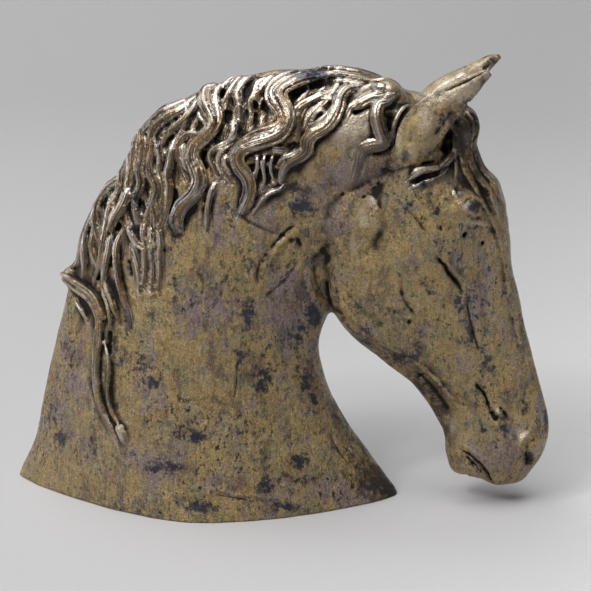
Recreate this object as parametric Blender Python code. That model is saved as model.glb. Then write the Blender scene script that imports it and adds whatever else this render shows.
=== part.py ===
"""A glazed ceramic horse bust: an arched neck cut flat below, a head bent to the chest, a mane of clay coils.

Run it with blender --background --python part.py. Metres, +Z up. The horse looks along +X, its right
side is -Y, and the origin is on the table under the middle of the whole bust. The bust is one fired
piece of clay, and it is built up as its maker would: masses are lofted and fused, coils are pressed on,
and grooves are cut in.
"""

import math
import random

import bmesh
import bpy
import numpy as np
from mathutils import Matrix, Vector
from mathutils.bvhtree import BVHTree

# Driving size: table to ear tips. Everything else of this free form is a share of it, written in
# 196ths, which are millimetres at the size in the photograph.
HEIGHT = 0.196
UNIT = HEIGHT / 196

# Clay work, in units.
BODY_GRAIN = 1.6
BODY_SOFTENING = 10
SKIN_GRAIN = 1.0
SKIN_SOFTENING = 1
RING_POINTS = 48
SECTION_STEPS = 4
COIL_POINTS = 10
COIL_STEP = 1.5
STROKE_STEP = 0.7
LUMP_DETAIL = 4
TRIANGLES = 9400

GLAZE_COLOUR = (0.19, 0.14, 0.07, 1.0)
GLAZE_ROUGHNESS = 0.38
GLAZE_METALLIC = 0.35

# What is drawn on a side is laid on the clay along lines of sight from this point, for the right side.
EYE = (121, -848, 369)

# Neck, from the table up to the poll: crest point (x, z), throat point (x, z), half widths from crest
# to throat, and how square the section is.
NECK_SECTIONS = (
    ((-121, -5), (53, -5), (32, 45, 46, 36), 1.55),
    ((-120, 1), (53, 1), (31, 44, 45, 35), 1.55),
    ((-114, 10), (46, 11), (28, 40, 41, 32), 1.7),
    ((-110, 22), (38, 22), (26, 37, 38, 30), 1.85),
    ((-107, 42), (28, 36), (23, 34, 35, 27), 1.95),
    ((-103, 62), (21, 50), (19, 31, 32, 24), 2.0),
    ((-97, 82), (17, 62), (15, 29, 30, 21), 2.0),
    ((-91, 101), (16, 71), (12, 27, 28, 19), 2.0),
    ((-84, 121), (19, 81), (10, 25, 26, 18), 2.0),
    ((-73, 141), (26, 92), (9, 23, 24, 17), 2.0),
    ((-59, 161), (35, 104), (8, 21, 22, 17), 2.0),
    ((-40, 177), (44, 117), (8, 19, 20, 16), 2.0),
    ((-14, 187), (52, 130), (8, 18, 19, 15), 2.0),
    ((12, 190), (60, 142), (8, 17, 18, 14), 2.1),
    ((37, 188), (68, 152), (9, 16, 16, 12), 2.1),
    ((57, 182), (76, 160), (9, 13, 13, 10), 2.1),
)

# Head, from the poll to the lips: front point (x, z), jaw point (x, z), half widths from front to jaw,
# and how square the section is.
HEAD_SECTIONS = (
    ((69, 184), (58, 172), (6, 9, 9, 6), 2.0),
    ((79, 177), (46, 158), (10, 15, 16, 10), 2.1),
    ((86, 161), (36, 142), (13, 19, 20, 12), 2.3),
    ((94, 146), (29, 126), (15, 23, 21, 13), 2.5),
    ((98, 133), (24, 112), (15, 23, 22, 14), 2.6),
    ((100, 120), (22, 99), (13, 21, 22, 14), 2.6),
    ((101, 108), (25, 87), (12, 18, 21, 13), 2.5),
    ((104, 96), (32, 77), (10, 16, 19, 11), 2.4),
    ((107, 84), (41, 68), (9, 14, 16, 10), 2.3),
    ((110, 73), (50, 61), (8, 12, 13, 9), 2.3),
    ((113, 62), (58, 53), (8, 11, 12, 8), 2.2),
    ((116, 52), (65, 45), (8, 11, 11, 8), 2.2),
    ((119, 42), (71, 36), (9, 12, 11, 8), 2.2),
    ((120, 33), (75, 29), (10, 12, 12, 8), 2.2),
    ((117, 24), (76, 22), (10, 12, 12, 8), 2.2),
    ((112, 16), (79, 16), (8, 11, 11, 7), 2.2),
    ((107, 11), (88, 11), (6, 8, 8, 6), 2.2),
    ((102, 8), (95, 8), (3, 4, 4, 3), 2.0),
)

# Lumps of clay, one on each side: centre (x, y, z), radii (x, y, z), and how far it tips forward, in degrees.
SIDE_LUMPS = (
    ((50, 15, 105), (27, 7.5, 30), 15),
    ((81, 16, 141), (10, 7.5, 6.5), -25),
    ((107, 7.5, 30), (8.5, 6, 9), -15),
    ((86, 6, 24), (8, 5, 8), 0),
)
MIDDLE_LUMPS = (
    ((103, 0, 16.5), (9, 8.5, 8.5), 0),
    ((83.5, 0, 18), (8.5, 7, 7), -25),
    ((-93.5, -1.5, 96), (3.5, 4, 5), 0),
)

# Locks drawn on the right side, each a half width and its path (x, z) from root to tip.
DRAWN_LOCKS = (
    (3.3, ((24, 190), (12, 187), (2, 182), (-1, 177), (3, 170), (-1, 163.5), (-11, 160), (-18, 155),
           (-17, 147), (-13, 140), (-14, 132), (-18, 126))),
    (2.2, ((33, 178), (26, 173), (21, 165), (13, 161), (11.5, 155), (4, 150), (1, 145), (2, 138))),
    (1.2, ((2, 137), (-4, 135), (-8, 130), (-12, 125))),
    (2.2, ((46, 178), (42, 174), (43, 167), (46, 161.5), (38, 158), (34.5, 152), (33.5, 145))),
    (3.4, ((23, 190), (34, 189), (45, 186), (52, 181), (48, 177))),
    (2.4, ((45, 183), (37, 180), (29, 174))),
    (1.9, ((28, 181), (18, 178), (8, 174), (8, 167), (3, 160), (-4, 155))),
    (3.2, ((-28, 185), (-31, 178), (-27, 168), (-30, 161), (-37, 155), (-36, 146), (-38, 136), (-45, 122))),
    (2.0, ((-11, 188), (-17, 180), (-15, 171), (-16, 163))),
    (1.8, ((-3, 187), (-11, 181), (-11, 172), (-12, 165))),
    (1.8, ((-17, 187), (-22, 178), (-20, 168), (-21, 160), (-27, 155))),
    (1.7, ((-12, 162), (-22, 155), (-25, 148), (-21, 141))),
    (2.6, ((-37, 178), (-48, 170), (-57, 162), (-57, 150), (-60, 138), (-64, 126), (-62, 112), (-61, 96))),
    (2.2, ((-33, 172), (-43, 165), (-54, 160), (-54, 150), (-55, 140), (-53, 131), (-55, 122))),
    (2.1, ((-30, 166), (-42, 161), (-46, 152), (-48, 142), (-46, 132), (-50, 116))),
    (2.6, ((-56, 166), (-63, 152), (-66, 140), (-69, 128), (-74, 117), (-76, 104), (-79, 92))),
    (2.8, ((-66, 145), (-78, 131), (-84, 118), (-90, 104), (-95, 96))),
    (2.4, ((-70, 136), (-77, 123), (-80, 111), (-86, 100), (-90, 95))),
    (2.0, ((-95, 96), (-87, 89), (-80, 79), (-79, 64), (-77, 45), (-75, 28), (-74, 17))),
    (1.6, ((-92, 94), (-82, 88), (-76, 77), (-76, 60), (-75, 42), (-73, 26))),
    (1.2, ((-91, 87), (-86, 76), (-83, 62), (-80, 46))),
    (1.4, ((-80, 91), (-74, 79), (-70, 70))),
    (1.6, ((-66, 112), (-66, 98), (-64, 86), (-66, 76))),
    (1.6, ((-57, 116), (-57, 102), (-56, 88))),
    (1.6, ((-47, 122), (-42, 113), (-37, 107))),
    (1.5, ((-28, 140), (-31, 128), (-32, 118))),
)

# Fine wavy locks in rows: side, (x, z) of the first and the last root and of the first and the last tip,
# how many, half width, waves and swing. The right side's lie under the drawn ones, the left side's are
# the whole of its mane.
ROWS = (
    (-1, (44, 188), (-52, 171), (22, 164), (-58, 134), 15, 1.8, 1.25, 1.6),
    (-1, (-50, 172), (-84, 124), (-50, 122), (-80, 92), 8, 1.8, 1.5, 1.4),
    (1, (46, 186), (-50, 173), (30, 150), (-62, 132), 12, 2.5, 1.5, 2.2),
    (1, (-52, 170), (-86, 118), (-62, 126), (-85, 84), 6, 2.4, 1.25, 1.8),
    (1, (20, 170), (-44, 158), (10, 136), (-52, 116), 7, 1.9, 1.0, 1.8),
)

# Forelock strands between the ears and down the forehead: half width and path (x, z, y).
FORELOCK = (
    (2.6, ((60, 182, 0), (74, 181, -1), (84, 173, -3), (88, 160, -2), (93, 149, -4))),
    (2.2, ((62, 182, 4), (78, 179, 5), (87, 168, 6), (91, 154, 5))),
    (2.2, ((60, 181, -6), (75, 177, -8), (84, 165, -9), (86, 152, -11))),
)

# Grooves drawn on both sides: half width, depth and path (x, z). A negative depth raises a ridge.
GROOVES = (
    (1.6, 1.8, ((69, 112), (74, 103), (79, 96), (85, 88))),
    (1.5, 1.4, ((86, 53), (90, 47), (93, 40), (95, 36))),
    (2.2, -1.0, ((89, 55), (94, 47), (98, 38), (104, 32))),
    (1.6, 2.0, ((80, 21), (86, 14.5), (91, 9.5), (95, 7))),
    (1.8, -0.8, ((79, 17), (84, 11), (89, 7.5))),
    (3.0, 0.9, ((26, 112), (32, 119), (40, 128), (50, 137))),
    (1.8, 1.4, ((54, 57), (64, 50), (72, 42), (77, 34))),
    (2.8, 1.3, ((89, 150), (87, 142), (90, 130), (93, 118))),
    (3.2, 1.2, ((62, 140), (70, 128), (74, 118))),
    (2.0, 1.6, ((110, 22), (112, 19))),
    (1.6, -1.0, ((77, 137), (81, 139.5), (87, 137))),
    (1.6, 1.0, ((78, 133), (83, 131), (88, 132.5))),
)

# Ears: middle line (x, z) from base to tip, how far out it stands, half width seen from the side and
# half width seen from the front.
EAR_LINE = ((55, 152), (60.5, 165.5), (67, 174.5), (74, 181.5), (82, 188.5), (90.5, 196))
EAR_OUT = (13, 15.5, 17.5, 18, 17.5, 16.5)
EAR_HALF_DEEP = (8.4, 8.8, 8.0, 6.6, 4.2, 0.9)
EAR_HALF_WIDE = (6.0, 6.4, 5.6, 4.2, 2.6, 0.8)
EAR_WALL = 2.2
EAR_OPENING = 42
EAR_TURN = 20


def at(x, z, y=0.0):
    """A point of the layout in metres: x forward, z up, y to the horse's left."""
    return Vector((x, y, z)) * UNIT


def blended(rows, steps):
    """Rows of numbers with steps of a smooth curve through them put in between."""
    rows = np.array(rows, float)
    ends = np.vstack([2 * rows[0] - rows[1], rows, 2 * rows[-1] - rows[-2]])
    out = []
    for before, start, stop, after in zip(ends, ends[1:], ends[2:], ends[3:]):
        for share in np.arange(steps) / steps:
            bend = (2 * before - 5 * start + 4 * stop - after) * share**2
            twist = (3 * start - before - 3 * stop + after) * share**3
            out.append(start + 0.5 * ((stop - before) * share + bend + twist))
    out.append(rows[-1])
    return np.array(out)


def evenly(points, spacing):
    """The curve's points set out again at an even spacing."""
    points = np.array(points, float)
    run = np.concatenate([[0], np.cumsum(np.linalg.norm(np.diff(points, axis=0), axis=1))])
    count = max(3, int(run[-1] / spacing) + 1)
    marks = np.linspace(0, run[-1], count)
    return np.stack([np.interp(marks, run, column) for column in points.T], axis=1)


def shell(name, sculpt):
    mesh = bpy.data.meshes.new(name)
    sculpt.to_mesh(mesh)
    sculpt.free()
    thing = bpy.data.objects.new(name, mesh)
    bpy.context.scene.collection.objects.link(thing)
    return thing


def loft(name, rings):
    """A closed shell through rings of equally many points."""
    sculpt = bmesh.new()
    rows = [[sculpt.verts.new(point) for point in ring] for ring in rings]
    count = len(rows[0])
    for lower, upper in zip(rows, rows[1:]):
        for k in range(count):
            after = (k + 1) % count
            sculpt.faces.new((lower[k], lower[after], upper[after], upper[k]))
    sculpt.faces.new(reversed(rows[0]))
    sculpt.faces.new(rows[-1])
    bmesh.ops.recalc_face_normals(sculpt, faces=sculpt.faces)
    return shell(name, sculpt)


def section_ring(front, back, widths, squareness):
    """One closed ring of a mass, from its front point down one side to its back and up the other."""
    profile = blended([[width] for width in widths], 8)[:, 0]
    points = []
    for step in range(RING_POINTS):
        angle = 2 * math.pi * step / RING_POINTS
        share = (1 - math.cos(angle)) / 2
        reach = max(0.0, 1 - abs(2 * share - 1) ** squareness) ** (1 / squareness)
        half_width = np.interp(share, np.linspace(0, 1, len(profile)), profile)
        side = 0.0 if step in (0, RING_POINTS // 2) else math.copysign(1, math.sin(angle))
        x = front[0] + (back[0] - front[0]) * share
        z = front[1] + (back[1] - front[1]) * share
        points.append(at(x, z, side * reach * half_width))
    return points


def lofted_mass(name, sections):
    flat = [(*front, *back, *widths, squareness) for front, back, widths, squareness in sections]
    rows = blended(flat, SECTION_STEPS)
    return loft(name, [section_ring(row[0:2], row[2:4], row[4:-1], row[-1]) for row in rows])


def lump(centre, radii, tip):
    """An ellipsoid of clay."""
    sculpt = bmesh.new()
    place = (
        Matrix.Translation(at(centre[0], centre[2], centre[1]))
        @ Matrix.Rotation(math.radians(tip), 4, "Y")
        @ Matrix.Diagonal((*(Vector(radii) * UNIT), 1.0))
    )
    bmesh.ops.create_icosphere(sculpt, subdivisions=LUMP_DETAIL, radius=1.0, matrix=place)
    return shell("lump", sculpt)


def body_masses():
    masses = [lofted_mass("neck", NECK_SECTIONS), lofted_mass("head", HEAD_SECTIONS)]
    for centre, radii, tip in SIDE_LUMPS:
        for side in (-1, 1):
            masses.append(lump((centre[0], side * centre[1], centre[2]), radii, tip))
    masses += [lump(*row) for row in MIDDLE_LUMPS]
    return masses


def coil(points, normals, half_widths, flatness=0.75):
    """A tapering roll of clay along a path, its section flattened on to the surface under it."""
    rings = []
    for k, (point, normal) in enumerate(zip(points, normals)):
        before = points[max(0, k - 1)]
        after = points[min(len(points) - 1, k + 1)]
        along = (after - before).normalized()
        across = along.cross(normal).normalized()
        out = across.cross(along).normalized()
        ring = []
        for step in range(COIL_POINTS):
            angle = 2 * math.pi * step / COIL_POINTS
            ring.append(
                point
                + across * (math.cos(angle) * half_widths[k])
                + out * (math.sin(angle) * half_widths[k] * flatness)
            )
        rings.append(ring)
    return loft("coil", rings)


def sight(x, z, side):
    """Where a line of sight starts, and its direction through a point of the middle plane."""
    eye = at(EYE[0], EYE[2], -side * EYE[1])
    return eye, (at(x, z) - eye).normalized()


def laid(skin, path, side, spacing):
    """A path (x, z) laid on the clay of one side: its points and the skin's normals there."""
    points, normals = [], []
    for x, z in evenly(blended(path, 6), spacing):
        start, way = sight(x, z, side)
        spot, normal, _, _ = skin.ray_cast(start, way)
        if spot is None:
            spot, normal, _, _ = skin.find_nearest(at(x, z, side * 2))
        points.append(spot)
        normals.append(normal)
    return points, normals


def eased(points, rounds=2):
    """The path with its small steps smoothed out, its ends kept."""
    points = list(points)
    for _ in range(rounds):
        middle = [(a + 2 * b + c) / 4 for a, b, c in zip(points, points[1:], points[2:])]
        points = [points[0], *middle, points[-1]]
    return points


def lock(skin, path, side, half_width, lift=0.35):
    """One lock of the mane pressed on to the clay."""
    points, normals = laid(skin, path, side, COIL_STEP)
    points, normals = eased(points), eased(normals)
    count = len(points)
    widths = []
    for k in range(count):
        share = k / (count - 1)
        taper = min(1.0, 0.55 + 3.0 * share) * min(1.0, 0.35 + 2.6 * (1 - share))
        widths.append(half_width * taper * UNIT)
    points = [p + n.normalized() * (w * lift) for p, n, w in zip(points, normals, widths)]
    return coil(points, normals, widths)


def row_of_locks(skin, side, first_root, last_root, first_tip, last_tip, count, half_width, waves, swing):
    """Wavy locks side by side along the crest."""
    chance = random.Random(count)
    locks = []
    for k in range(count):
        share = k / (count - 1)
        bow = Vector((0, 9 * math.sin(math.pi * share)))
        root = Vector(first_root).lerp(Vector(last_root), share) + bow
        tip = Vector(first_tip).lerp(Vector(last_tip), share) + Vector((0, chance.uniform(-6, 4)))
        across = (tip - root).orthogonal().normalized()
        phase = chance.uniform(-0.6, 0.6)
        path = []
        for step in range(13):
            way = step / 12
            sway = swing * math.sin(2 * math.pi * waves * way + phase)
            path.append(tuple(root.lerp(tip, way) + across * sway))
        locks.append(lock(skin, path, side, half_width * chance.uniform(0.85, 1.1)))
    return locks


def forelock(skin):
    strands = []
    for half_width, path in FORELOCK:
        points, normals = [], []
        for x, z, y in evenly(blended(path, 6), COIL_STEP):
            spot, normal, _, _ = skin.find_nearest(at(x, z, y))
            points.append(spot)
            normals.append(normal)
        count = len(points)
        widths = [half_width * UNIT * min(1.0, 0.3 + 2.4 * (1 - k / (count - 1))) for k in range(count)]
        strands.append(coil(eased(points), eased(normals), widths))
    return strands


def ear(side):
    """A leaf of clay curled round a hollow that opens forwards."""
    rows = zip(EAR_LINE, EAR_OUT, EAR_HALF_DEEP, EAR_HALF_WIDE)
    line = blended([(*point, out, deep, wide) for point, out, deep, wide in rows], 4)
    opening = math.radians(EAR_OPENING)
    turn = Matrix.Rotation(math.radians(side * EAR_TURN), 3, "Z")
    rings = []
    for k, (x, z, out, deep, wide) in enumerate(line):
        before, after = line[max(0, k - 1)], line[min(len(line) - 1, k + 1)]
        along = Vector((after[0] - before[0], 0, after[1] - before[1])).normalized()
        forward = turn @ Vector((along.z, 0, -along.x))
        sideways = turn @ Vector((0, 1, 0))
        centre = Vector((x, side * out, z))
        wall = min(EAR_WALL, 0.55 * wide)
        angles = np.linspace(opening, 2 * math.pi - opening, 19)
        ring = [centre + forward * (deep * math.cos(a)) + sideways * (wide * math.sin(a)) for a in angles]
        for a in reversed(angles):
            inside = forward * ((deep - wall) * math.cos(a)) + sideways * ((wide - wall) * math.sin(a))
            ring.append(centre + inside)
        rings.append([point * UNIT for point in ring])
    return loft("ear", rings)


def applied(name, clay):
    """The object with its modifiers made real, under a new name."""
    graph = bpy.context.evaluated_depsgraph_get()
    mesh = bpy.data.meshes.new_from_object(clay.evaluated_get(graph))
    bpy.data.objects.remove(clay)
    mesh.name = name
    result = bpy.data.objects.new(name, mesh)
    bpy.context.scene.collection.objects.link(result)
    return result


def fused(name, things, grain, softening):
    """The shells fused into one skin and softened."""
    bpy.ops.object.select_all(action="DESELECT")
    for thing in things:
        thing.select_set(True)
    bpy.context.view_layer.objects.active = things[0]
    bpy.ops.object.join()
    clay = bpy.context.view_layer.objects.active
    remesh = clay.modifiers.new("fuse", "REMESH")
    remesh.mode = "VOXEL"
    remesh.voxel_size = grain * UNIT
    if softening:
        smooth = clay.modifiers.new("soften", "SMOOTH")
        smooth.factor = 0.5
        smooth.iterations = round(softening)
    return applied(name, clay)


def skin_of(thing):
    sculpt = bmesh.new()
    sculpt.from_mesh(thing.data)
    tree = BVHTree.FromBMesh(sculpt)
    sculpt.free()
    return tree


def stroked(thing, strokes):
    """Pushes the skin in, or out, round each stroke: points, half width and depth in metres."""
    mesh = thing.data
    spots = np.empty(len(mesh.vertices) * 3)
    mesh.vertices.foreach_get("co", spots)
    spots = spots.reshape(-1, 3)
    normals = np.empty(len(mesh.vertices) * 3)
    mesh.vertices.foreach_get("normal", normals)
    normals = normals.reshape(-1, 3)
    push = np.zeros(len(spots))
    for points, half_width, depth in strokes:
        line = np.array([tuple(point) for point in points])
        reach = 3 * half_width
        near = np.all((spots > line.min(0) - reach) & (spots < line.max(0) + reach), axis=1)
        found = np.nonzero(near)[0]
        gaps = np.linalg.norm(spots[found, None, :] - line[None, :, :], axis=2)
        nearest = gaps.argmin(1)
        share = nearest / (len(line) - 1)
        fade = np.clip(6 * share, 0.15, 1) * np.clip(6 * (1 - share), 0.15, 1)
        push[found] -= depth * fade * np.exp(-((gaps.min(1) / half_width) ** 2))
    spots += normals * push[:, None]
    mesh.vertices.foreach_set("co", spots.ravel())
    mesh.update()


def grooves(skin):
    strokes = []
    for side in (-1, 1):
        for half_width, depth, path in GROOVES:
            points, _ = laid(skin, path, side, STROKE_STEP)
            strokes.append((points, half_width * UNIT, depth * UNIT))
    return strokes


def mane(skin):
    locks = [lock(skin, path, -1, half_width) for half_width, path in DRAWN_LOCKS]
    for row in ROWS:
        locks += row_of_locks(skin, *row)
    return locks


def thinned(thing, triangles):
    """The skin with fewer triangles, the flat places losing most."""
    count = sum(len(face.vertices) - 2 for face in thing.data.polygons)
    thin = thing.modifiers.new("thin", "DECIMATE")
    thin.ratio = triangles / count
    return applied(thing.name, thing)


def cut_flat(thing):
    """Cuts the foot off level with the table and closes it."""
    sculpt = bmesh.new()
    sculpt.from_mesh(thing.data)
    cut = bmesh.ops.bisect_plane(
        sculpt,
        geom=sculpt.verts[:] + sculpt.edges[:] + sculpt.faces[:],
        dist=1e-7,
        plane_co=(0, 0, 0),
        plane_no=(0, 0, -1),
        clear_outer=True,
    )
    rim = [item for item in cut["geom_cut"] if isinstance(item, bmesh.types.BMEdge)]
    bmesh.ops.holes_fill(sculpt, edges=rim, sides=0)
    bmesh.ops.triangulate(sculpt, faces=sculpt.faces)
    bmesh.ops.recalc_face_normals(sculpt, faces=sculpt.faces)
    sculpt.to_mesh(thing.data)
    sculpt.free()


def centred(thing):
    """Moves the bust so that the origin is under the middle of its box."""
    corners = [vertex.co for vertex in thing.data.vertices]
    middle = [(min(c[axis] for c in corners) + max(c[axis] for c in corners)) / 2 for axis in (0, 1)]
    thing.data.transform(Matrix.Translation((-middle[0], -middle[1], 0)))


def glazed(thing):
    glaze = bpy.data.materials.new("bronze_glaze")
    glaze.use_nodes = True
    shader = glaze.node_tree.nodes["Principled BSDF"]
    shader.inputs["Base Color"].default_value = GLAZE_COLOUR
    shader.inputs["Roughness"].default_value = GLAZE_ROUGHNESS
    shader.inputs["Metallic"].default_value = GLAZE_METALLIC
    thing.data.materials.clear()
    thing.data.materials.append(glaze)
    thing.data.shade_smooth()


def main():
    for thing in list(bpy.data.objects):
        bpy.data.objects.remove(thing, do_unlink=True)
    body = fused("body", body_masses(), BODY_GRAIN, BODY_SOFTENING)
    skin = skin_of(body)
    added = mane(skin) + forelock(skin) + [ear(-1), ear(1)]
    strokes = grooves(skin)
    bust = fused("horse_bust", [body, *added], SKIN_GRAIN, SKIN_SOFTENING)
    stroked(bust, strokes)
    bust = thinned(bust, TRIANGLES)
    cut_flat(bust)
    centred(bust)
    glazed(bust)


main()
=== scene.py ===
"""The looks of a glazed ceramic horse bust with a mane of rolled clay coils.

Sizes in the tables are millimetres: x forward, z up and y to the horse's left, with the horse's right
side, which carries the long locks, towards the viewer. The bust is one piece. Its masses are lofted
and fused, its mane is rolled in coils by a Geometry Nodes tree, and its glaze is one material.
"""

import math
import random

import bmesh
import bpy
import numpy as np
from mathutils import Matrix, Vector, noise
from mathutils.bvhtree import BVHTree
from mathutils.kdtree import KDTree


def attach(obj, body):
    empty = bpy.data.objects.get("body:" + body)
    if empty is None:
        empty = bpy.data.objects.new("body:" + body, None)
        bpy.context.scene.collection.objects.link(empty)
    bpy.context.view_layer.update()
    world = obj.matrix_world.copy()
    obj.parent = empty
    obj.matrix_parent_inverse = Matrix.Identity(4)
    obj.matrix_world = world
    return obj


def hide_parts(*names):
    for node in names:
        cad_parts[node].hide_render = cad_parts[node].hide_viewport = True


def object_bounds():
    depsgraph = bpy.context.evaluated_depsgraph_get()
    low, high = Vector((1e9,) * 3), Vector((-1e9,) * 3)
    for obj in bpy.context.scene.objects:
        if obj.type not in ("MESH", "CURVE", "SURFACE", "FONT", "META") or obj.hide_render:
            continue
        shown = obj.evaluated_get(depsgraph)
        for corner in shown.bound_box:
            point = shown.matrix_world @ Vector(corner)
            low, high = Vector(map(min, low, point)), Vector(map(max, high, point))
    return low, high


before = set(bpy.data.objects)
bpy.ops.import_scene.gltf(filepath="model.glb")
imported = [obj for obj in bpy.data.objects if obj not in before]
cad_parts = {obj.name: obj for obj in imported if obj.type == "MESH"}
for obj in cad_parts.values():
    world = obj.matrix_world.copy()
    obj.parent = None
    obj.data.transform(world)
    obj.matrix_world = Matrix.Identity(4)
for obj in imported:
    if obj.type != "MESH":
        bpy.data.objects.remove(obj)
cad_low, cad_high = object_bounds()

MM = 0.001

# How fine the clay is worked, in millimetres, and its rounds of smoothing: the masses, the mane's under
# layer and the finished skin, which is then thinned to about so many triangles.
BODY_GRAIN = 1.2
BODY_SOFTENING = 18
MANE_GRAIN = 0.8
MANE_SOFTENING = 1
SKIN_GRAIN = 0.5
SKIN_SOFTENING = 1
TRIANGLES = 192000

# Points round a section, steps between two sections and between two points of a path, and how finely
# the balls of clay are divided.
RING_POINTS = 64
SECTION_STEPS = 5
PATH_STEPS = 6
LUMP_DETAIL = 4
EYEBALL_DETAIL = 3

# Millimetres between the points of a coil and of a pressed stroke.
COIL_STEP = 0.9
STROKE_STEP = 0.5

# How much fuller the drawn locks are than their tables say, how far rows and loose locks are lifted off
# the clay in half widths, the steps of a row's waves, and how far the middle of a row's roots bows up over
# its ends, in millimetres.
FULLNESS = 1.3
ROW_LIFT = 0.2
LOOSE_LIFT = 0.7
ROW_STEPS = 12
ROW_BOW = 9

# The unevenness that the hands left, broad and small: how much it raises or sinks the clay, and the size
# of its lumps, level and upright, in millimetres.
BROAD_UNEVENNESS = (0.45, 11, 14)
SMALL_UNEVENNESS = (0.12, 3.4, 4.2)

# The mane's glaze ends so many half widths from a lock's middle line, each half width being taken so many
# millimetres larger, and the hanging lock and the forelock take only so much of that glaze.
MANE_FADE = 1.9
MANE_MARGIN = 0.4
HANGING_SHARE = 0.6
FORELOCK_SHARE = 0.5

# Rounds of evening out that make the clay's near and wide surroundings, which the relief is measured from.
NEAR_ROUNDS = 12
WIDE_ROUNDS = 90

# The glaze's marks of the right side reach this far past the middle, and all the way over the crown above
# this height, in metres.
MARKS_REACH = 0.004
CROWN_HEIGHT = 0.178

# Where the viewer stands, the point that the camera looks at, and the lens, in millimetres.
EYE = (121.13, -848.40, 369.09)
AIM = (7.65, 0.0, 90.97)
LENS = 125.56

# Neck, from the table up to the poll: crest point (x, z), throat point (x, z), half widths from crest
# to throat, and how square the section is.
NECK_SECTIONS = (
    ((-121.5, -5), (53.5, -5), (32, 43, 44, 35), 1.55),
    ((-120.5, 1), (53.5, 1), (31, 42, 43, 34), 1.55),
    ((-116, 10), (46, 11), (28, 39, 40, 32), 1.7),
    ((-111.3, 22), (37.6, 22), (26, 37, 38, 30), 1.85),
    ((-106.6, 42), (28, 36), (23, 34, 35, 27), 1.95),
    ((-102, 62), (21.4, 50), (19, 31, 32, 24), 2.0),
    ((-96.5, 82), (18.2, 62), (15, 29, 30, 21), 2.0),
    ((-91, 101), (17.8, 71), (12, 27, 28, 19), 2.0),
    ((-84.5, 121), (21, 81), (10, 25, 26, 18), 2.0),
    ((-72.5, 141), (26, 92), (9, 23, 24, 17), 2.0),
    ((-59.5, 162), (35, 104), (8, 21, 22, 17), 2.0),
    ((-40, 178.5), (44, 117), (8, 19, 20, 16), 2.0),
    ((-14, 188.8), (52, 130), (8, 18, 19, 15), 2.0),
    ((12, 192), (60, 142), (8, 17, 18, 14), 2.1),
    ((37, 190), (68, 152), (9, 16, 16, 12), 2.1),
    ((56, 182.5), (76, 160), (9, 13, 13, 10), 2.1),
)

# Head, from the poll to the lips: front point (x, z), jaw point (x, z), half widths from front to jaw,
# and how square the section is.
HEAD_SECTIONS = (
    ((69, 184), (58, 172), (6, 9, 9, 6), 2.0),
    ((78, 177), (46, 158), (10, 15, 16, 10), 2.1),
    ((82.5, 163), (37, 143), (13, 19, 20, 12), 2.3),
    ((86.5, 152), (32, 133), (14, 21, 21, 12), 2.4),
    ((95, 143), (28, 124), (15, 23, 21, 13), 2.5),
    ((98, 133), (24, 112), (15, 23, 22, 14), 2.6),
    ((99.5, 120), (21.5, 98), (13, 21, 22, 14), 2.6),
    ((101, 108), (23.8, 85.5), (12, 18, 21, 13), 2.5),
    ((104, 96), (30.5, 75), (10, 16, 19, 11), 2.4),
    ((107, 84), (40.2, 67), (9, 14, 16, 10), 2.3),
    ((110, 73), (49.4, 60.2), (8, 12, 13, 9), 2.3),
    ((113, 62), (58, 53), (8, 11, 12, 8), 2.2),
    ((116, 52), (65, 45), (8, 11, 11, 8), 2.2),
    ((118.6, 42), (70, 36), (9, 12, 11, 8), 2.2),
    ((119.4, 33), (73.2, 29), (10, 12, 12, 8), 2.2),
    ((117.6, 24), (73.8, 22), (10, 12, 12, 8), 2.2),
    ((113.4, 16), (77, 16), (8, 11, 11, 7), 2.2),
    ((107.5, 10.5), (88, 11), (6, 8, 8, 6), 2.2),
    ((102, 8), (95, 8), (3, 4, 4, 3), 2.0),
)

# Lumps of clay, one on each side: centre (x, y, z), radii (x, y, z), and how far it tips forward, in
# degrees.
SIDE_LUMPS = (
    ((50, 14, 104), (27, 7.5, 30), 15),
    ((38, 11, 126), (22, 8.5, 20), 30),
    ((79, 16.5, 138), (9, 6, 6), -25),
    ((107, 7.5, 30), (8.5, 6, 9), -15),
    ((86, 6, 24), (8, 5, 8), 0),
)

# Lumps of clay on or near the middle, in the same measures.
MIDDLE_LUMPS = (
    ((103, 0, 16.5), (9, 8.5, 8.5), 0),
    ((83.5, 0, 18), (8.5, 7, 7), -25),
    ((-93.5, -1.5, 96), (3.5, 4, 5), 0),
    ((79, 0, 169), (5, 10, 8), 0),
    ((88, 0, 142), (7.5, 11, 7), 0),
    ((48.5, -8, 184.5), (7, 6, 4.6), 38),
    ((60, 2, 178), (8, 8, 4), 25),
)

# The mane's wavy under layer, in rows: side, first and last root (x, z), first and last tip (x, z), how
# many, half width, strands, waves and swing. The left side's rows are the whole of its mane.
ROWS = (
    (-1, ((44, 186), (-52, 171)), ((24, 168), (-56, 136)), 17, 1.5, 2, 1.25, 1.4),
    (-1, ((-50, 172), (-84, 124)), ((-52, 122), (-80, 94)), 9, 1.4, 2, 1.5, 1.2),
    (1, ((46, 186), (-50, 173)), ((30, 150), (-62, 132)), 14, 2.5, 3, 1.5, 2.4),
    (1, ((-52, 170), (-86, 118)), ((-62, 126), (-85, 84)), 7, 2.4, 3, 1.25, 2.0),
    (1, ((20, 170), (-44, 158)), ((10, 136), (-52, 116)), 8, 2.1, 2, 1.2, 2.2),
)

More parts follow.
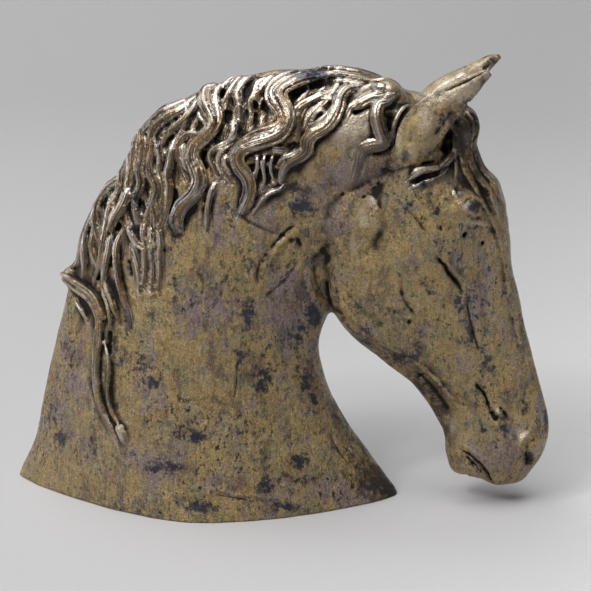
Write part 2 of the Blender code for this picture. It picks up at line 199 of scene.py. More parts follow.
# Locks drawn on the right side: half width, strands, lift off the clay in half widths, bluntness of the
# tip from 0 to 1, and the path (x, z) from root to tip.
LOCKS = (
    # The long lock that swings twice, in three bands.
    (1.1, 2, 0.9, 0.1, ((7, 190.5), (1, 187.5), (-3, 184), (-4.5, 180), (-4, 176.5), (-1, 173), (0, 170),
                        (-3, 168), (-8, 165.5), (-13, 163))),
    (1.4, 2, 1.0, 0.2, ((11, 190), (5, 187), (0.5, 184), (-2, 181), (-1.5, 177.5), (1, 174), (2, 170.5),
                        (0.5, 167), (-4, 164.5), (-10, 162.5), (-16, 159), (-20, 155), (-21.5, 151),
                        (-19.5, 147.5))),
    (2.5, 4, 0.7, 0.9, ((22, 190), (13, 187.5), (5, 184), (1, 180.5), (2.5, 176.5), (4.3, 172), (4, 167),
                        (0.5, 162.5), (-5, 160), (-11, 158), (-16, 155.5), (-18, 151.5), (-16.5, 147.5),
                        (-13.5, 143.5), (-12.5, 138.5), (-14, 133), (-17, 127))),
    (1.1, 2, 0.4, 0.2, ((-19.5, 158.5), (-24, 155.5), (-26, 151.5), (-25.5, 147.5), (-23, 144),
                        (-20.5, 140.5))),
    (0.8, 1, 0.4, 0.3, ((-22.5, 152.5), (-23.5, 149), (-21.5, 145.5))),
    # Short strands that come down from the crest behind it.
    (1.2, 2, 0.6, 0.4, ((-1, 188.5), (-6, 184.5), (-9, 180), (-8.5, 176))),
    (1.2, 2, 0.6, 0.5, ((-5, 187.5), (-9, 184), (-10, 180), (-12, 176), (-11.5, 171), (-12, 166))),
    (1.7, 3, 0.6, 0.3, ((-11, 188.5), (-15, 184.5), (-17.5, 180), (-16.5, 175), (-16, 170),
                        (-16.5, 164))),
    (1.3, 2, 0.6, 0.8, ((-14.5, 188), (-18.5, 184), (-21, 180), (-23, 175.5))),
    (1.1, 2, 0.5, 0.4, ((-18, 187.5), (-22, 184.5), (-25.5, 181))),
    (1.7, 3, 0.7, 0.6, ((-19, 169), (-19, 164), (-20.5, 160), (-22, 157))),
    # The lock that turns forward and then back, over the bare skin before the ear.
    (2.4, 4, 0.7, 0.2, ((37, 185.5), (30, 183.5), (26.5, 179.5), (25.5, 175), (23.5, 170.5), (20, 166.5),
                        (15, 163.5), (12.3, 160), (12, 156.5), (9, 153.5), (4.5, 151), (1.5, 147.5),
                        (0.8, 143), (2, 139.5))),
    (1.3, 2, 0.6, 0.1, ((22, 182), (15, 178.5), (9.5, 175.5), (7.5, 172.5), (8.3, 168.5), (7.5, 165),
                        (4, 161))),
    (1.0, 2, 0.5, 0.2, ((25, 178.5), (18, 179), (11, 175.5))),
    (0.9, 1, 0.6, 0.1, ((24, 176), (21.5, 173), (18, 169.5), (13, 166.5))),
    (0.8, 1, 0.5, 0.5, ((19.5, 174), (16.5, 173), (14.5, 170))),
    (1.0, 2, 0.5, 0.3, ((10.5, 157.5), (7, 155), (2, 152.5), (-1, 149.5))),
    (0.9, 1, 0.3, 0.1, ((2.4, 141), (0.4, 138.4), (-4, 136.8), (-8, 132.5), (-11.5, 127))),
    (0.8, 1, 0.2, 0.2, ((-9.5, 153), (-9, 148.5), (-10.5, 143.5), (-10, 139))),
    (0.7, 1, 0.2, 0.2, ((-6, 153.5), (-6.8, 148), (-6, 143), (-7.5, 138))),
    (0.7, 1, 0.3, 0.2, ((-2.5, 153.5), (-3.6, 148), (-2.4, 142.5))),
    (1.4, 2, 0.4, 0.8, ((-3, 156), (2, 155.5))),
    # The broad smooth lock that caps the crest, the eyelet and the leaf under it.
    (0.8, 1, 0.8, 0.2, ((23, 186.5), (30, 186.3), (38, 185.8), (41, 185.5))),
    (0.8, 1, 0.6, 0.2, ((22.5, 189.5), (26, 191), (31, 190.3), (28, 188.3), (24, 188))),
    (2.5, 4, 0.5, 0.1, ((44.5, 182), (40, 180), (35, 177.8), (30, 175))),
    (1.3, 2, 0.6, 0.1, ((45, 185), (39, 184.3), (33, 181))),
    # The rolled rim under the ear and the fold below it.
    (1.3, 1, 0.5, 0.3, ((56, 145), (58.1, 146.6), (61, 148.9), (65, 149.8), (69, 150.6), (72, 153.6),
                        (74.6, 158), (76.4, 162.5))),
    (1.0, 1, 0.1, 0.2, ((57, 141.6), (61.5, 144.2), (66.5, 146.4), (70.6, 149.4), (74.2, 154))),
    # The lock that falls by the ear and bends back under it, and the thin coil along the ear.
    (2.3, 4, 0.6, 0.0, ((50, 181), (46, 178.7), (43, 177), (41.8, 173), (42.8, 168), (44.2, 164),
                        (45.5, 161), (43, 159.7), (38, 158.6), (35.5, 156), (34.5, 151), (33, 145))),
    (0.9, 1, 0.9, 0.4, ((55, 177), (52, 174.5), (50, 170.5), (48.7, 165.5), (48.3, 160))),
    # The next big lock back along the crest.
    (2.9, 5, 0.7, 0.9, ((-27, 185), (-31.5, 181), (-30.5, 175), (-28, 170), (-27.5, 165.5), (-31, 161),
                        (-35.5, 157), (-37, 151.5), (-35, 146), (-34, 140.5), (-37, 134.5), (-42, 129.5),
                        (-44.5, 123.5), (-44, 117))),
    (1.4, 2, 0.7, 0.2, ((-24, 184.5), (-26.5, 179), (-25, 173), (-24.5, 168), (-27.5, 163),
                        (-31.5, 159))),
    (1.1, 2, 0.6, 0.2, ((-17, 161.5), (-23, 158), (-28.5, 155), (-30, 152), (-28.5, 148), (-26.5, 144))),
    (1.3, 2, 0.6, 0.2, ((-34, 178), (-37, 172.5), (-41, 168), (-47, 163), (-51, 160.5))),
    (1.2, 2, 0.6, 0.2, ((-33, 176), (-34, 170.5), (-31, 167), (-30.5, 163.8), (-34, 161.5), (-39, 161.5),
                        (-43, 157.5), (-43.5, 152), (-42.5, 146), (-40.5, 141))),
    (1.9, 3, 0.6, 0.1, ((-36, 178), (-42, 172.5), (-48, 168.8), (-53, 164.5), (-55, 160), (-54.5, 154.5),
                        (-56, 149), (-55.5, 143), (-53.5, 138), (-55.5, 132), (-58, 126), (-60, 119))),
    (2.0, 3, 0.7, 0.5, ((-40, 176.5), (-47, 172), (-54, 168), (-58.5, 163), (-59, 157), (-59, 151),
                        (-60.5, 145), (-60, 139), (-62.5, 133), (-63, 127), (-62, 121))),
    (1.4, 2, 0.6, 0.1, ((-47, 174.5), (-55, 169.5), (-61, 163), (-62.5, 155), (-63.5, 147), (-65, 140),
                        (-66.5, 133), (-69, 126))),
    (1.6, 3, 0.6, 0.2, ((-44, 160.5), (-46, 155), (-47, 149), (-48.5, 143), (-47.5, 137.5), (-48, 131),
                        (-50, 125), (-52.5, 119))),
    (1.2, 2, 0.4, 0.1, ((-51, 161), (-52.5, 156), (-51.5, 150), (-52, 144), (-50, 138), (-51, 132),
                        (-54, 126))),
    (1.1, 2, 0.5, 0.3, ((-41, 158), (-41.5, 152), (-40.5, 147.5), (-37.5, 144))),
    (1.2, 2, 0.3, 0.1, ((-28, 140), (-30.5, 134), (-31.5, 127), (-32, 119))),
    # The locks along the back edge.
    (2.2, 4, 0.6, 0.3, ((-71, 141), (-78, 131), (-81, 124), (-80.5, 117), (-79.5, 111))),
    (2.2, 4, 0.5, 0.2, ((-73, 140), (-82, 130), (-86, 122), (-88, 113), (-91, 104), (-95, 97))),
    (1.6, 3, 0.5, 0.1, ((-70, 137), (-74, 128), (-76, 120), (-77.5, 112), (-79, 104), (-82, 96),
                        (-84, 91))),
    (2.2, 4, 0.6, 0.9, ((-65, 138), (-68, 130), (-71.5, 124), (-75, 117))),
    (1.4, 2, 0.5, 0.2, ((-85, 118), (-86, 110), (-86.5, 103), (-87.5, 96))),
    (1.5, 2, 0.6, 0.2, ((-74, 116), (-75, 109), (-76.5, 102), (-78, 95), (-79, 90))),
    (1.4, 2, 0.5, 0.1, ((-69, 118), (-71.5, 111), (-72, 104), (-71.5, 97), (-70.5, 91), (-69, 85),
                        (-67.5, 79), (-67, 72))),
    (1.2, 2, 0.7, 0.2, ((-66, 121), (-64.5, 115), (-62, 111), (-59, 109.5))),
    (1.2, 2, 0.1, 0.2, ((-60, 121), (-60, 115), (-59.5, 110), (-59.5, 103), (-60, 96), (-61, 90))),
    (1.3, 2, 0.0, 0.1, ((-65, 112), (-63.5, 105), (-62.5, 98), (-62.5, 90))),
    (1.5, 2, -0.1, 0.1, ((-57, 119), (-56.5, 110), (-56, 103), (-56.5, 96), (-56.5, 87))),
    (1.4, 2, -0.2, 0.1, ((-54, 121), (-53, 114), (-53, 106), (-53, 98), (-53.5, 89))),
)

# The long lock that hangs from the mane's end, in the same measures.
HANGING_LOCK = (
    (1.0, 1, 1.1, 0.7, ((-98.6, 98), (-93, 94.6), (-87.5, 91.2), (-82.6, 87.6), (-79.6, 82),
                        (-78.4, 76))),
    (1.6, 2, 0.7, 0.2, ((-97, 94), (-91.5, 90.5), (-85, 86.5), (-81.2, 80), (-80.2, 73), (-81, 66),
                        (-82, 58), (-82.6, 48), (-82, 38), (-79.6, 30), (-76.6, 23), (-74, 17))),
    (0.8, 1, 0.8, 0.1, ((-79, 90), (-76.6, 84), (-75.8, 77), (-76.4, 70.5))),
    (0.8, 1, 0.7, 0.2, ((-78.8, 66), (-76.8, 58), (-77, 50), (-77.8, 42), (-76.8, 34), (-74.2, 28),
                        (-71.6, 23))),
    (0.7, 1, 0.8, 0.1, ((-91, 84.6), (-88.6, 80), (-86.4, 74.5))),
    (1.0, 1, 0.8, 0.1, ((-77.5, 93), (-75, 87), (-73.2, 80), (-71.8, 74))),
    (1.6, 1, 0.1, 0.6, ((-73.4, 26), (-71.6, 21.6), (-70.8, 17.6))),
)

# Locks along the crest before the ears: half width, strands and path (x, z, y).
CREST_LOCKS = (
    (2.0, 2, ((20, 191, -4), (32, 190.5, -4.5), (42, 188.5, -5), (49, 185.5, -6), (53, 182, -8))),
    (1.8, 2, ((14, 191, 1), (28, 191, 0), (40, 189.5, -1), (50, 185.5, -1), (56, 182, -2))),
    (1.8, 2, ((18, 190, 5), (32, 190, 5), (44, 187.5, 5), (53, 183, 5))),
)

# Hollows between the locks: half width, depth and path (x, z).
HOLLOWS = (
    (1.3, 3.0, ((-6.5, 179), (-5.6, 173), (-6.4, 167.5))),
    (1.2, 2.6, ((-10.4, 178), (-10, 172), (-10.5, 166.5))),
    (1.6, 3.2, ((24, 186.8), (14, 184.6), (8, 181.6), (5.6, 177))),
    (1.3, 2.4, ((-25, 183), (-23.6, 178))),
    (1.4, 2.6, ((-22.4, 173), (-21.3, 167))),
    (1.8, 3.2, ((-32.4, 155.5), (-33.6, 150), (-31, 146))),
    (1.4, 2.6, ((-44, 160), (-48, 158), (-50, 154))),
    (1.6, 2.6, ((-11.5, 150.5), (-12, 146), (-11, 141))),
    (1.4, 2.4, ((-8, 151.5), (-3.5, 152), (0.5, 150.5))),
    (1.0, 2.2, ((-8, 149), (-8.4, 144), (-8.6, 140))),
    (1.0, 2.2, ((-4.6, 149), (-4.4, 144), (-5.2, 140))),
    (1.0, 2.0, ((-1, 148), (-0.8, 143))),
    (1.4, 2.5, ((-31.5, 139), (-31.5, 132), (-32, 126))),
    (2.0, 4.2, ((48, 175), (47, 168), (47, 160))),
    (1.4, 2.8, ((47, 157.5), (40, 156.5))),
    (1.1, 2.5, ((31.5, 183), (28, 178))),
    (1.1, 2.5, ((39, 177), (31, 173))),
    (1.5, 3.0, ((-70.5, 129), (-72.5, 123), (-70, 117))),
    (1.6, 3.0, ((-78.5, 108), (-80, 100), (-82, 93))),
    (1.2, 2.6, ((-45.5, 138), (-45.5, 131), (-47, 124))),
    (1.3, 2.6, ((-61, 131), (-59, 126))),
    (1.0, 2.2, ((-67, 105), (-66, 96))),
    (1.2, 2.5, ((-74, 103), (-72.5, 96))),
    (1.3, 3.0, ((-76.5, 72), (-77.2, 65), (-77.4, 58))),
    (0.9, 1.6, ((-77.4, 56), (-78.2, 46), (-77.6, 38))),
    (1.2, 2.6, ((6, 175), (6.5, 170), (6, 165))),
    (1.2, 2.2, ((8, 159), (3, 157.5))),
)

# Forelock strands between the ears and down the forehead: half width, strands and path (x, z, y).
FORELOCK = (
    (1.9, 3, ((66, 180, 0), (73, 180, -1), (78.5, 175.5, -2), (81.4, 169.5, -1), (82.6, 162, -3),
              (86.5, 154, -3), (92, 146.5, -4), (97, 139, -4))),
    (1.8, 3, ((66, 179, 5), (75, 178, 6), (81, 170, 6), (84, 159, 5), (90, 148, 4), (95, 140, 3))),
    (1.8, 3, ((66, 179, -6), (73, 177.5, -7), (79, 171.5, -8), (81, 163, -10), (84.5, 154, -9),
              (90.5, 145.5, -10), (95.5, 136.5, -10), (98, 127, -9))),
    (1.4, 2, ((66, 177, 10), (75, 173, 11), (81, 163, 11), (86, 150, 10))),
    (1.4, 2, ((67, 177, -11), (75, 172, -12), (79, 165, -13), (81, 157, -13), (86, 148, -14),
              (90.5, 139, -14), (93, 131, -14))),
    (0.8, 1, ((79, 176, -4), (82.4, 172, -6), (81, 166, -6), (84.4, 160, -7), (86, 153, -8))),
    (0.8, 1, ((77, 174, -9), (78.4, 168, -11), (77.4, 162, -12), (80.4, 156, -12), (83, 150, -13))),
    (0.9, 1, ((77, 169, -14), (78.4, 161, -16), (79, 154, -17), (77.5, 149, -18))),
)

# Tool marks drawn on both sides: half width, depth and path (x, z). A negative depth raises a ridge.
GROOVES = (
    (0.9, -1.3, ((78.6, 134.4), (80.2, 137.2), (83.3, 138.2), (86.6, 136.8), (88.4, 134.2))),
    (0.8, -0.7, ((79.6, 132.4), (81.8, 130.8), (84.8, 130.8), (87.2, 132.2))),
    (1.9, -1.6, ((75.0, 138.8), (76.4, 139.3))),
    (4.0, -0.7, ((79, 126.5), (85, 125.5))),
    (0.8, -0.8, ((82, 127.6), (86.5, 127), (91.5, 125.6))),
    (1.0, -0.9, ((85, 142), (90, 133), (94.5, 123), (98, 108), (100, 97), (103, 84), (107, 70),
                 (111, 56))),
    (2.8, 1.1, ((90, 146), (88.5, 140), (91.5, 130), (94, 118))),
    (3.2, 1.0, ((62, 140), (70, 128), (74, 118))),
    (0.9, -1.2, ((57.5, 63.5), (63, 60.6), (69.4, 54.6), (75, 47.8), (79.4, 42))),
    (2.9, 2.5, ((57, 58.5), (62, 55), (67.5, 49), (72.5, 42), (75.5, 35.5))),
    (1.6, -0.7, ((24, 93), (30, 84), (38, 77), (48, 70), (57, 64.5))),
    (2.6, 0.6, ((28, 97), (33, 89), (41, 82), (50, 76))),
    (1.0, 0.9, ((25.5, 82.5), (22.5, 89), (21.6, 96), (23, 103), (26, 108))),
)

# Deep cuts, pits and folds of the right side, as they are on the real one: half width, depth and path.
CUTS = (
    (0.8, 2.6, ((68.4, 111.6), (70.4, 108.3), (72.2, 107), (73.6, 104), (76.6, 100.6), (78.2, 98.6),
                 (79.9, 95.6))),
    (0.8, -0.8, ((70.6, 112), (73.6, 107.6), (76.4, 104.2), (80.2, 99))),
    (0.65, 2.2, ((86.3, 54.3), (88.4, 51.4), (90.2, 49.6), (91.7, 46.4), (92.6, 43.4), (93.6, 41.4))),
    (1.3, 1.9, ((93.6, 41.4), (95, 39), (97, 36.5))),
    (0.7, 1.6, ((97, 43.4), (99.5, 41), (101, 38))),
    (1.5, -1.7, ((96, 42.3), (97.6, 40.2))),
    (1.0, 2.6, ((79.6, 121.6), (81.2, 121))),
    (1.0, 2.4, ((87.3, 117), (89, 118.2))),
    (0.7, 1.0, ((69.5, 125), (70.1, 122.5))),
    (0.9, -0.5, ((51.4, 136.3), (59.2, 129.9), (65.8, 121.4), (68.6, 113))),
    (0.9, 0.5, ((50.4, 135), (58.2, 128.6), (64.6, 120.4))),
    (1.1, 0.8, ((53, 97), (55, 90), (60, 84))),
    (0.8, -1.2, ((56.2, 144.6), (57.4, 147.4), (59.6, 149.4), (64, 150.1), (68.4, 150.6), (71.6, 153.6),
                 (75, 157.4))),
    (1.0, 1.7, ((60.5, 151.8), (64, 152.4), (67.6, 153.4))),
    (0.9, 1.1, ((57, 142.4), (61.5, 145.6), (66.5, 147), (70.5, 149.2))),
    (0.8, -0.7, ((56.5, 140), (62, 142.4), (68, 145.4), (72.4, 149.6))),
    (0.9, 1.2, ((42, 143.4), (43.6, 143))),
    (0.8, 0.9, ((8, 117), (9.5, 113))),
    (0.7, 1.1, ((37.6, 60.4), (39.5, 57))),
    (1.0, 0.3, ((-33, 92), (-38, 89), (-41, 92.5))),
    (0.6, 0.5, ((-18.5, 62), (-19.2, 50), (-20.5, 39))),
    (0.6, -0.4, ((-17, 61), (-17.7, 50), (-19, 40))),
    (0.9, 0.9, ((8, 123.4), (4, 120.6), (0.9, 117.3), (-2.6, 113.6), (-5, 110))),
    (1.6, 0.5, ((-4, 112), (-7.6, 106.6), (-9.6, 100), (-10, 94))),
    (1.4, -0.8, ((9, 121), (3.4, 116.6), (-1.6, 110.6), (-5.8, 104.6), (-7.4, 98))),
    (0.9, 0.4, ((15.8, 109), (15.6, 101), (18, 94), (21.6, 87.6))),
    (1.2, -0.8, ((13.2, 108), (12.8, 100), (15, 92), (18.4, 86))),
    (1.0, 0.8, ((81, 95), (83, 86), (85.4, 76.5), (88.4, 66))),
    (1.3, -0.6, ((84.4, 95), (86.8, 85), (89.6, 74.5))),
    (0.9, 1.0, ((61.6, 144), (63, 142.4))),
    (1.2, 0.8, ((56, 81.6), (58, 80.4))),
    (0.7, -0.7, ((54.6, 82), (57, 83.2), (59.6, 81.6))),
    (1.3, -0.9, ((38, 137), (41, 133.6), (43.4, 129))),
    (1.6, -0.7, ((25, 132.6), (31, 136.4), (37, 140), (43, 143.8), (49.5, 147))),
    (0.7, 0.7, ((27, 137), (28.4, 138))),
    (0.7, 0.7, ((36, 136), (37.6, 137.2))),
    (0.7, 0.6, ((44, 148.6), (46.4, 149.6))),
    (0.9, -1.4, ((50.2, 156), (50.6, 162), (52.6, 168), (56.4, 174), (61.6, 179), (68, 183.4), (75, 187),
                 (83, 191))),
    (0.75, 2.0, ((90, 196.4), (85.2, 192.6), (79.9, 189), (74.5, 186.4), (69, 183.6))),
    (1.2, 1.6, ((80.9, 179.4), (80.4, 177.4))),
    (2.6, -0.8, ((60, 160), (64, 168), (69, 174))),
    (1.8, 0.8, ((66, 163), (70, 169.5), (75, 176.5))),
    (1.6, 0.6, ((55.5, 160), (57, 167))),
    (0.7, 0.4, ((-30, -5), (-22, -6.5), (-14, -7.6))),
    (1.2, -0.5, ((-38, -2), (-26, -4), (-12, -5.5), (0, -5))),
    (0.7, 0.4, ((-2, 2.4), (6, 3), (12, 5))),
    (0.7, 0.6, ((22, 30), (26, 20), (33, 11))),
    (1.2, 0.4, ((-37, 102), (-34, 95), (-35, 88), (-38, 82))),
    (1.1, -0.4, ((-33.6, 102), (-31, 95), (-32, 87))),
    (1.1, 0.35, ((-27, 108), (-24, 100), (-25, 92), (-28, 86))),
    (1.6, 0.7, ((-19, 127), (-10, 122), (0, 118), (12, 114))),
    (1.8, -0.5, ((-22, 118), (-12, 114), (0, 110))),
    (2.2, 0.6, ((10, 104), (18, 112), (25, 121), (33, 128))),
    (1.5, -0.5, ((3, 98), (12, 107), (20, 116), (28, 124))),
    (1.2, 0.6, ((-8, 88), (2, 97), (9, 107))),
)

# The mouth and the nostrils, cut on both sides.
MOUTH = (
    (1.5, 3.6, ((110.2, 22.5), (111, 19.5), (111.2, 16.8))),
    (1.3, -1.0, ((105.5, 21), (107.5, 28), (112, 33.5))),
    (1.2, 0.9, ((109, 20), (111, 26), (115, 31))),
    (1.2, 1.6, ((93.6, 9.4), (96.4, 4.6))),
    (0.95, 4.2, ((80.6, 22.2), (84.4, 19.6), (88.8, 15.8), (92.2, 11.6), (94.6, 7.8))),
    (0.8, 3.2, ((81.4, 19.6), (84.4, 17), (87.8, 13.6), (90.8, 9.8))),
    (1.0, -1.0, ((78.4, 18.6), (81.6, 14.4), (86, 10.2), (91, 7.4))),
    (1.0, -0.8, ((81.2, 24.6), (85.8, 22), (90.4, 18), (94.2, 13))),
)

# The eye sockets and the hollows between the ears and the forelock.
SOCKETS = (
    (3.2, 1.4, ((79.5, 134.3), (83, 134), (87, 133.2))),
    (3.3, 5.0, ((81, 174), (79.4, 168), (77.6, 161.5), (75.6, 155.5))),
    (2.4, 3.6, ((71, 156), (73.4, 163), (76, 169))),
)

# Eyeballs: where one shows (x, z), radius and how deep its middle lies.
EYEBALL = ((83.0, 134.0), 3.1, 1.5)

# Ears: middle line (x, z) from base to tip, how far out it stands, half width seen from the side and
# half width seen from the front. The left ear leans forward by so much at its tip, and the right ear back.
EAR_LINE = ((52, 145), (55.5, 154), (60.5, 165.5), (67, 174.5), (74, 181.5), (82, 188.5), (90.5, 196))
EAR_OUT = (7, 12.5, 14.5, 15, 15.2, 15.8, 17)
EAR_HALF_DEEP = (7.2, 8.9, 9.6, 9.4, 7.8, 5.2, 2.1)
EAR_HALF_WIDE = (4.5, 6.2, 6.6, 6.0, 4.8, 3.3, 1.9)
EAR_WALL = 2.2
EAR_OPENING = 42
EAR_TURN = -12
EAR_LEAN = 1.3


def at(x, z, y=0.0):
    """A point in metres: x forward, z up, y to the horse's left."""
    return Vector((x, y, z)) * MM


def blended(rows, steps):
    """Rows of numbers with steps of a smooth curve through them put in between."""
    rows = np.array(rows, float)
    ends = np.vstack([2 * rows[0] - rows[1], rows, 2 * rows[-1] - rows[-2]])
    out = []
    for before, start, stop, after in zip(ends, ends[1:], ends[2:], ends[3:]):
        for share in np.arange(steps) / steps:
            bend = (2 * before - 5 * start + 4 * stop - after) * share**2
            twist = (3 * start - before - 3 * stop + after) * share**3
            out.append(start + 0.5 * ((stop - before) * share + bend + twist))
    out.append(rows[-1])
    return np.array(out)


def evenly(points, spacing):
    """The curve's points set out again at an even spacing."""
    points = np.array(points, float)
    run = np.concatenate([[0], np.cumsum(np.linalg.norm(np.diff(points, axis=0), axis=1))])
    count = max(3, int(run[-1] / spacing) + 1)
    marks = np.linspace(0, run[-1], count)
    return np.stack([np.interp(marks, run, column) for column in points.T], axis=1)


def shell(name, sculpt):
    """A new thing in the scene with the sculpted mesh."""
    mesh = bpy.data.meshes.new(name)
    sculpt.to_mesh(mesh)
    sculpt.free()
    thing = bpy.data.objects.new(name, mesh)
    bpy.context.scene.collection.objects.link(thing)
    return thing


def loft(name, rings):
    """A closed shell through rings of equally many points."""
    sculpt = bmesh.new()
    rows = [[sculpt.verts.new(point) for point in ring] for ring in rings]
    count = len(rows[0])
    for lower, upper in zip(rows, rows[1:]):
        for k in range(count):
            after = (k + 1) % count
            sculpt.faces.new((lower[k], lower[after], upper[after], upper[k]))
    sculpt.faces.new(reversed(rows[0]))
    sculpt.faces.new(rows[-1])
    bmesh.ops.recalc_face_normals(sculpt, faces=sculpt.faces)
    return shell(name, sculpt)


def section_ring(front, back, widths, squareness):
    """One closed ring of a mass, from its front point down one side to its back and up the other."""
    profile = blended([[width] for width in widths], 8)[:, 0]
    points = []
    for step in range(RING_POINTS):
        angle = 2 * math.pi * step / RING_POINTS
        share = (1 - math.cos(angle)) / 2
        reach = max(0.0, 1 - abs(2 * share - 1) ** squareness) ** (1 / squareness)
        half_width = np.interp(share, np.linspace(0, 1, len(profile)), profile)
        side = 0.0 if step in (0, RING_POINTS // 2) else math.copysign(1, math.sin(angle))
        x = front[0] + (back[0] - front[0]) * share
        z = front[1] + (back[1] - front[1]) * share
        points.append(at(x, z, side * reach * half_width))
    return points


def lofted_mass(name, sections):
    """A closed mass through the rings of a table of sections."""
    flat = [(*front, *back, *widths, squareness) for front, back, widths, squareness in sections]
    rows = blended(flat, SECTION_STEPS)
    return loft(name, [section_ring(row[0:2], row[2:4], row[4:-1], row[-1]) for row in rows])


def lump(centre, radii, tip):
    """An ellipsoid of clay."""
    sculpt = bmesh.new()
    place = (
        Matrix.Translation(at(centre[0], centre[2], centre[1]))
        @ Matrix.Rotation(math.radians(tip), 4, "Y")
        @ Matrix.Diagonal((*(Vector(radii) * MM), 1.0))
    )
    bmesh.ops.create_icosphere(sculpt, subdivisions=LUMP_DETAIL, radius=1.0, matrix=place)
    return shell("lump", sculpt)


def body_masses():
    """Neck, head and the lumps of clay on them, still apart."""
    masses = [lofted_mass("neck", NECK_SECTIONS), lofted_mass("head", HEAD_SECTIONS)]
    for centre, radii, tip in SIDE_LUMPS:
        for side in (-1, 1):
            masses.append(lump((centre[0], side * centre[1], centre[2]), radii, tip))
    masses += [lump(*row) for row in MIDDLE_LUMPS]
    return masses


def sight(x, z, side):
    """Where a line of sight starts, and its direction through a point of the middle plane."""
    eye = at(EYE[0], EYE[2], -side * EYE[1])
    return eye, (at(x, z) - eye).normalized()


def laid(skin, path, side, spacing):
    """A path (x, z) laid on the clay of one side: its points and the skin's normals there."""
    points, normals = [], []
    for x, z in evenly(blended(path, PATH_STEPS), spacing):
        start, way = sight(x, z, side)
        spot, normal, _, _ = skin.ray_cast(start, way)
        if spot is None:
            spot, normal, _, _ = skin.find_nearest(at(x, z, side * 2))
        points.append(spot)
        normals.append(normal)
    return points, normals


def eased(points, rounds=3):
    """The path with its small steps smoothed out, its ends kept."""
    points = list(points)
    for _ in range(rounds):
        middle = [(a + 2 * b + c) / 4 for a, b, c in zip(points, points[1:], points[2:])]
        points = [points[0], *middle, points[-1]]
    return points


def coil_line(points, normals, half_width, strands, lift, bluntness):
    """One lock's middle line: points, outward directions, half widths and how many strands."""
    points, normals = eased(points), eased(normals, 5)
    count = len(points)
    line = []
    for k, (point, normal) in enumerate(zip(points, normals)):
        share = k / (count - 1)
        left = 1 - share
        tip = min(1.0, 0.25 + 2.2 * left) * (1 - bluntness) + min(1.0, 0.5 + 8 * left) * bluntness
        width = half_width * MM * min(1.0, 0.6 + 3.0 * share) * tip
        sink = 0.9 * (1 - bluntness) * share**3
        rise = lift * min(1.0, 0.2 + 5 * share) - sink
        out = normal.normalized()
        line.append((point + out * (width * rise), out, width, strands))
    return line


def row_lines(skin, side, roots, tips, count, half_width, strands, waves, swing):
    """Wavy locks side by side along the crest."""
    chance = random.Random(count)
    lines = []
    for k in range(count):
        share = k / (count - 1)
        bow = Vector((0, ROW_BOW * math.sin(math.pi * share)))
        root = Vector(roots[0]).lerp(Vector(roots[1]), share) + bow
        tip = Vector(tips[0]).lerp(Vector(tips[1]), share) + Vector((0, chance.uniform(-6, 4)))
        across = (tip - root).orthogonal().normalized()
        phase = chance.uniform(-0.6, 0.6)
        path = []
        for step in range(ROW_STEPS + 1):
            way = step / ROW_STEPS
            sway = swing * math.sin(2 * math.pi * waves * way + phase)
            path.append(tuple(root.lerp(tip, way) + across * sway))
        points, normals = laid(skin, path, side, COIL_STEP)
        width = half_width * chance.uniform(0.85, 1.1)
        lines.append(coil_line(points, normals, width, strands, ROW_LIFT, chance.uniform(0, 0.5)))
    return lines


def drawn_lines(skin, table):
    """Locks of the right side, each laid along the path that a table draws."""
    lines = []
    for half_width, strands, lift, bluntness, path in table:
        points, normals = laid(skin, path, -1, COIL_STEP)
        lines.append(coil_line(points, normals, half_width * FULLNESS, strands, lift, bluntness))
    return lines


def loose_lines(skin, table):
    """Locks given by three-way points, each laid on the clay nearest to it."""
    lines = []
    for half_width, strands, path in table:
        points, normals = [], []
        for x, z, y in evenly(blended(path, PATH_STEPS), COIL_STEP):
            spot, normal, _, _ = skin.find_nearest(at(x, z, y))
            points.append(spot)
            normals.append(normal)
        lines.append(coil_line(points, normals, half_width, strands, LOOSE_LIFT, 0.0))
    return lines


def guides(name, lines):
    """The locks' middle lines as one wire mesh, with what the coil tree reads stored on its points."""
    spots = [tuple(row[0]) for line in lines for row in line]
    edges = []
    start = 0
    for line in lines:
        edges += [(start + k, start + k + 1) for k in range(len(line) - 1)]
        start += len(line)
    mesh = bpy.data.meshes.new(name)
    mesh.from_pydata(spots, edges, [])
    out = mesh.attributes.new("out", "FLOAT_VECTOR", "POINT")
    out.data.foreach_set("vector", [value for line in lines for row in line for value in row[1]])
    width = mesh.attributes.new("half_width", "FLOAT", "POINT")
    width.data.foreach_set("value", [row[2] for line in lines for row in line])
    strands = mesh.attributes.new("strands", "FLOAT", "POINT")
    strands.data.foreach_set("value", [row[3] for line in lines for row in line])
    thing = bpy.data.objects.new(name, mesh)
    bpy.context.scene.collection.objects.link(thing)
    return thing


class Bench:
    """Puts nodes into a tree and wires them."""

    def __init__(self, tree):
        self.tree = tree

    def node(self, kind, **settings):
        """A new node of this kind."""
        made = self.tree.nodes.new(kind)
        for key, value in settings.items():
            setattr(made, key, value)
        return made

    def feed(self, socket, value):
        """Links the socket to another one, or gives it a plain value."""
        if isinstance(value, bpy.types.NodeSocket):
            self.tree.links.new(value, socket)
        else:
            socket.default_value = value

    def sum(self, operation, first, second=0.0):
        """One step of arithmetic."""
        made = self.node("ShaderNodeMath", operation=operation)
        self.feed(made.inputs[0], first)
        self.feed(made.inputs[1], second)
        return made.outputs[0]

    def vector(self, operation, first, second=None, scale=None):
        """One step of arithmetic with vectors."""
        made = self.node("ShaderNodeVectorMath", operation=operation)
        self.feed(made.inputs[0], first)
        if second is not None:
            self.feed(made.inputs[1], second)
        if scale is not None:
            self.feed(made.inputs["Scale"], scale)
        return made.outputs[0]


def named(bench, name, kind):
    """A value that the guide lines carry under this name."""
    made = bench.node("GeometryNodeInputNamedAttribute", data_type=kind)
    made.inputs["Name"].default_value = name
    return made.outputs["Attribute"]


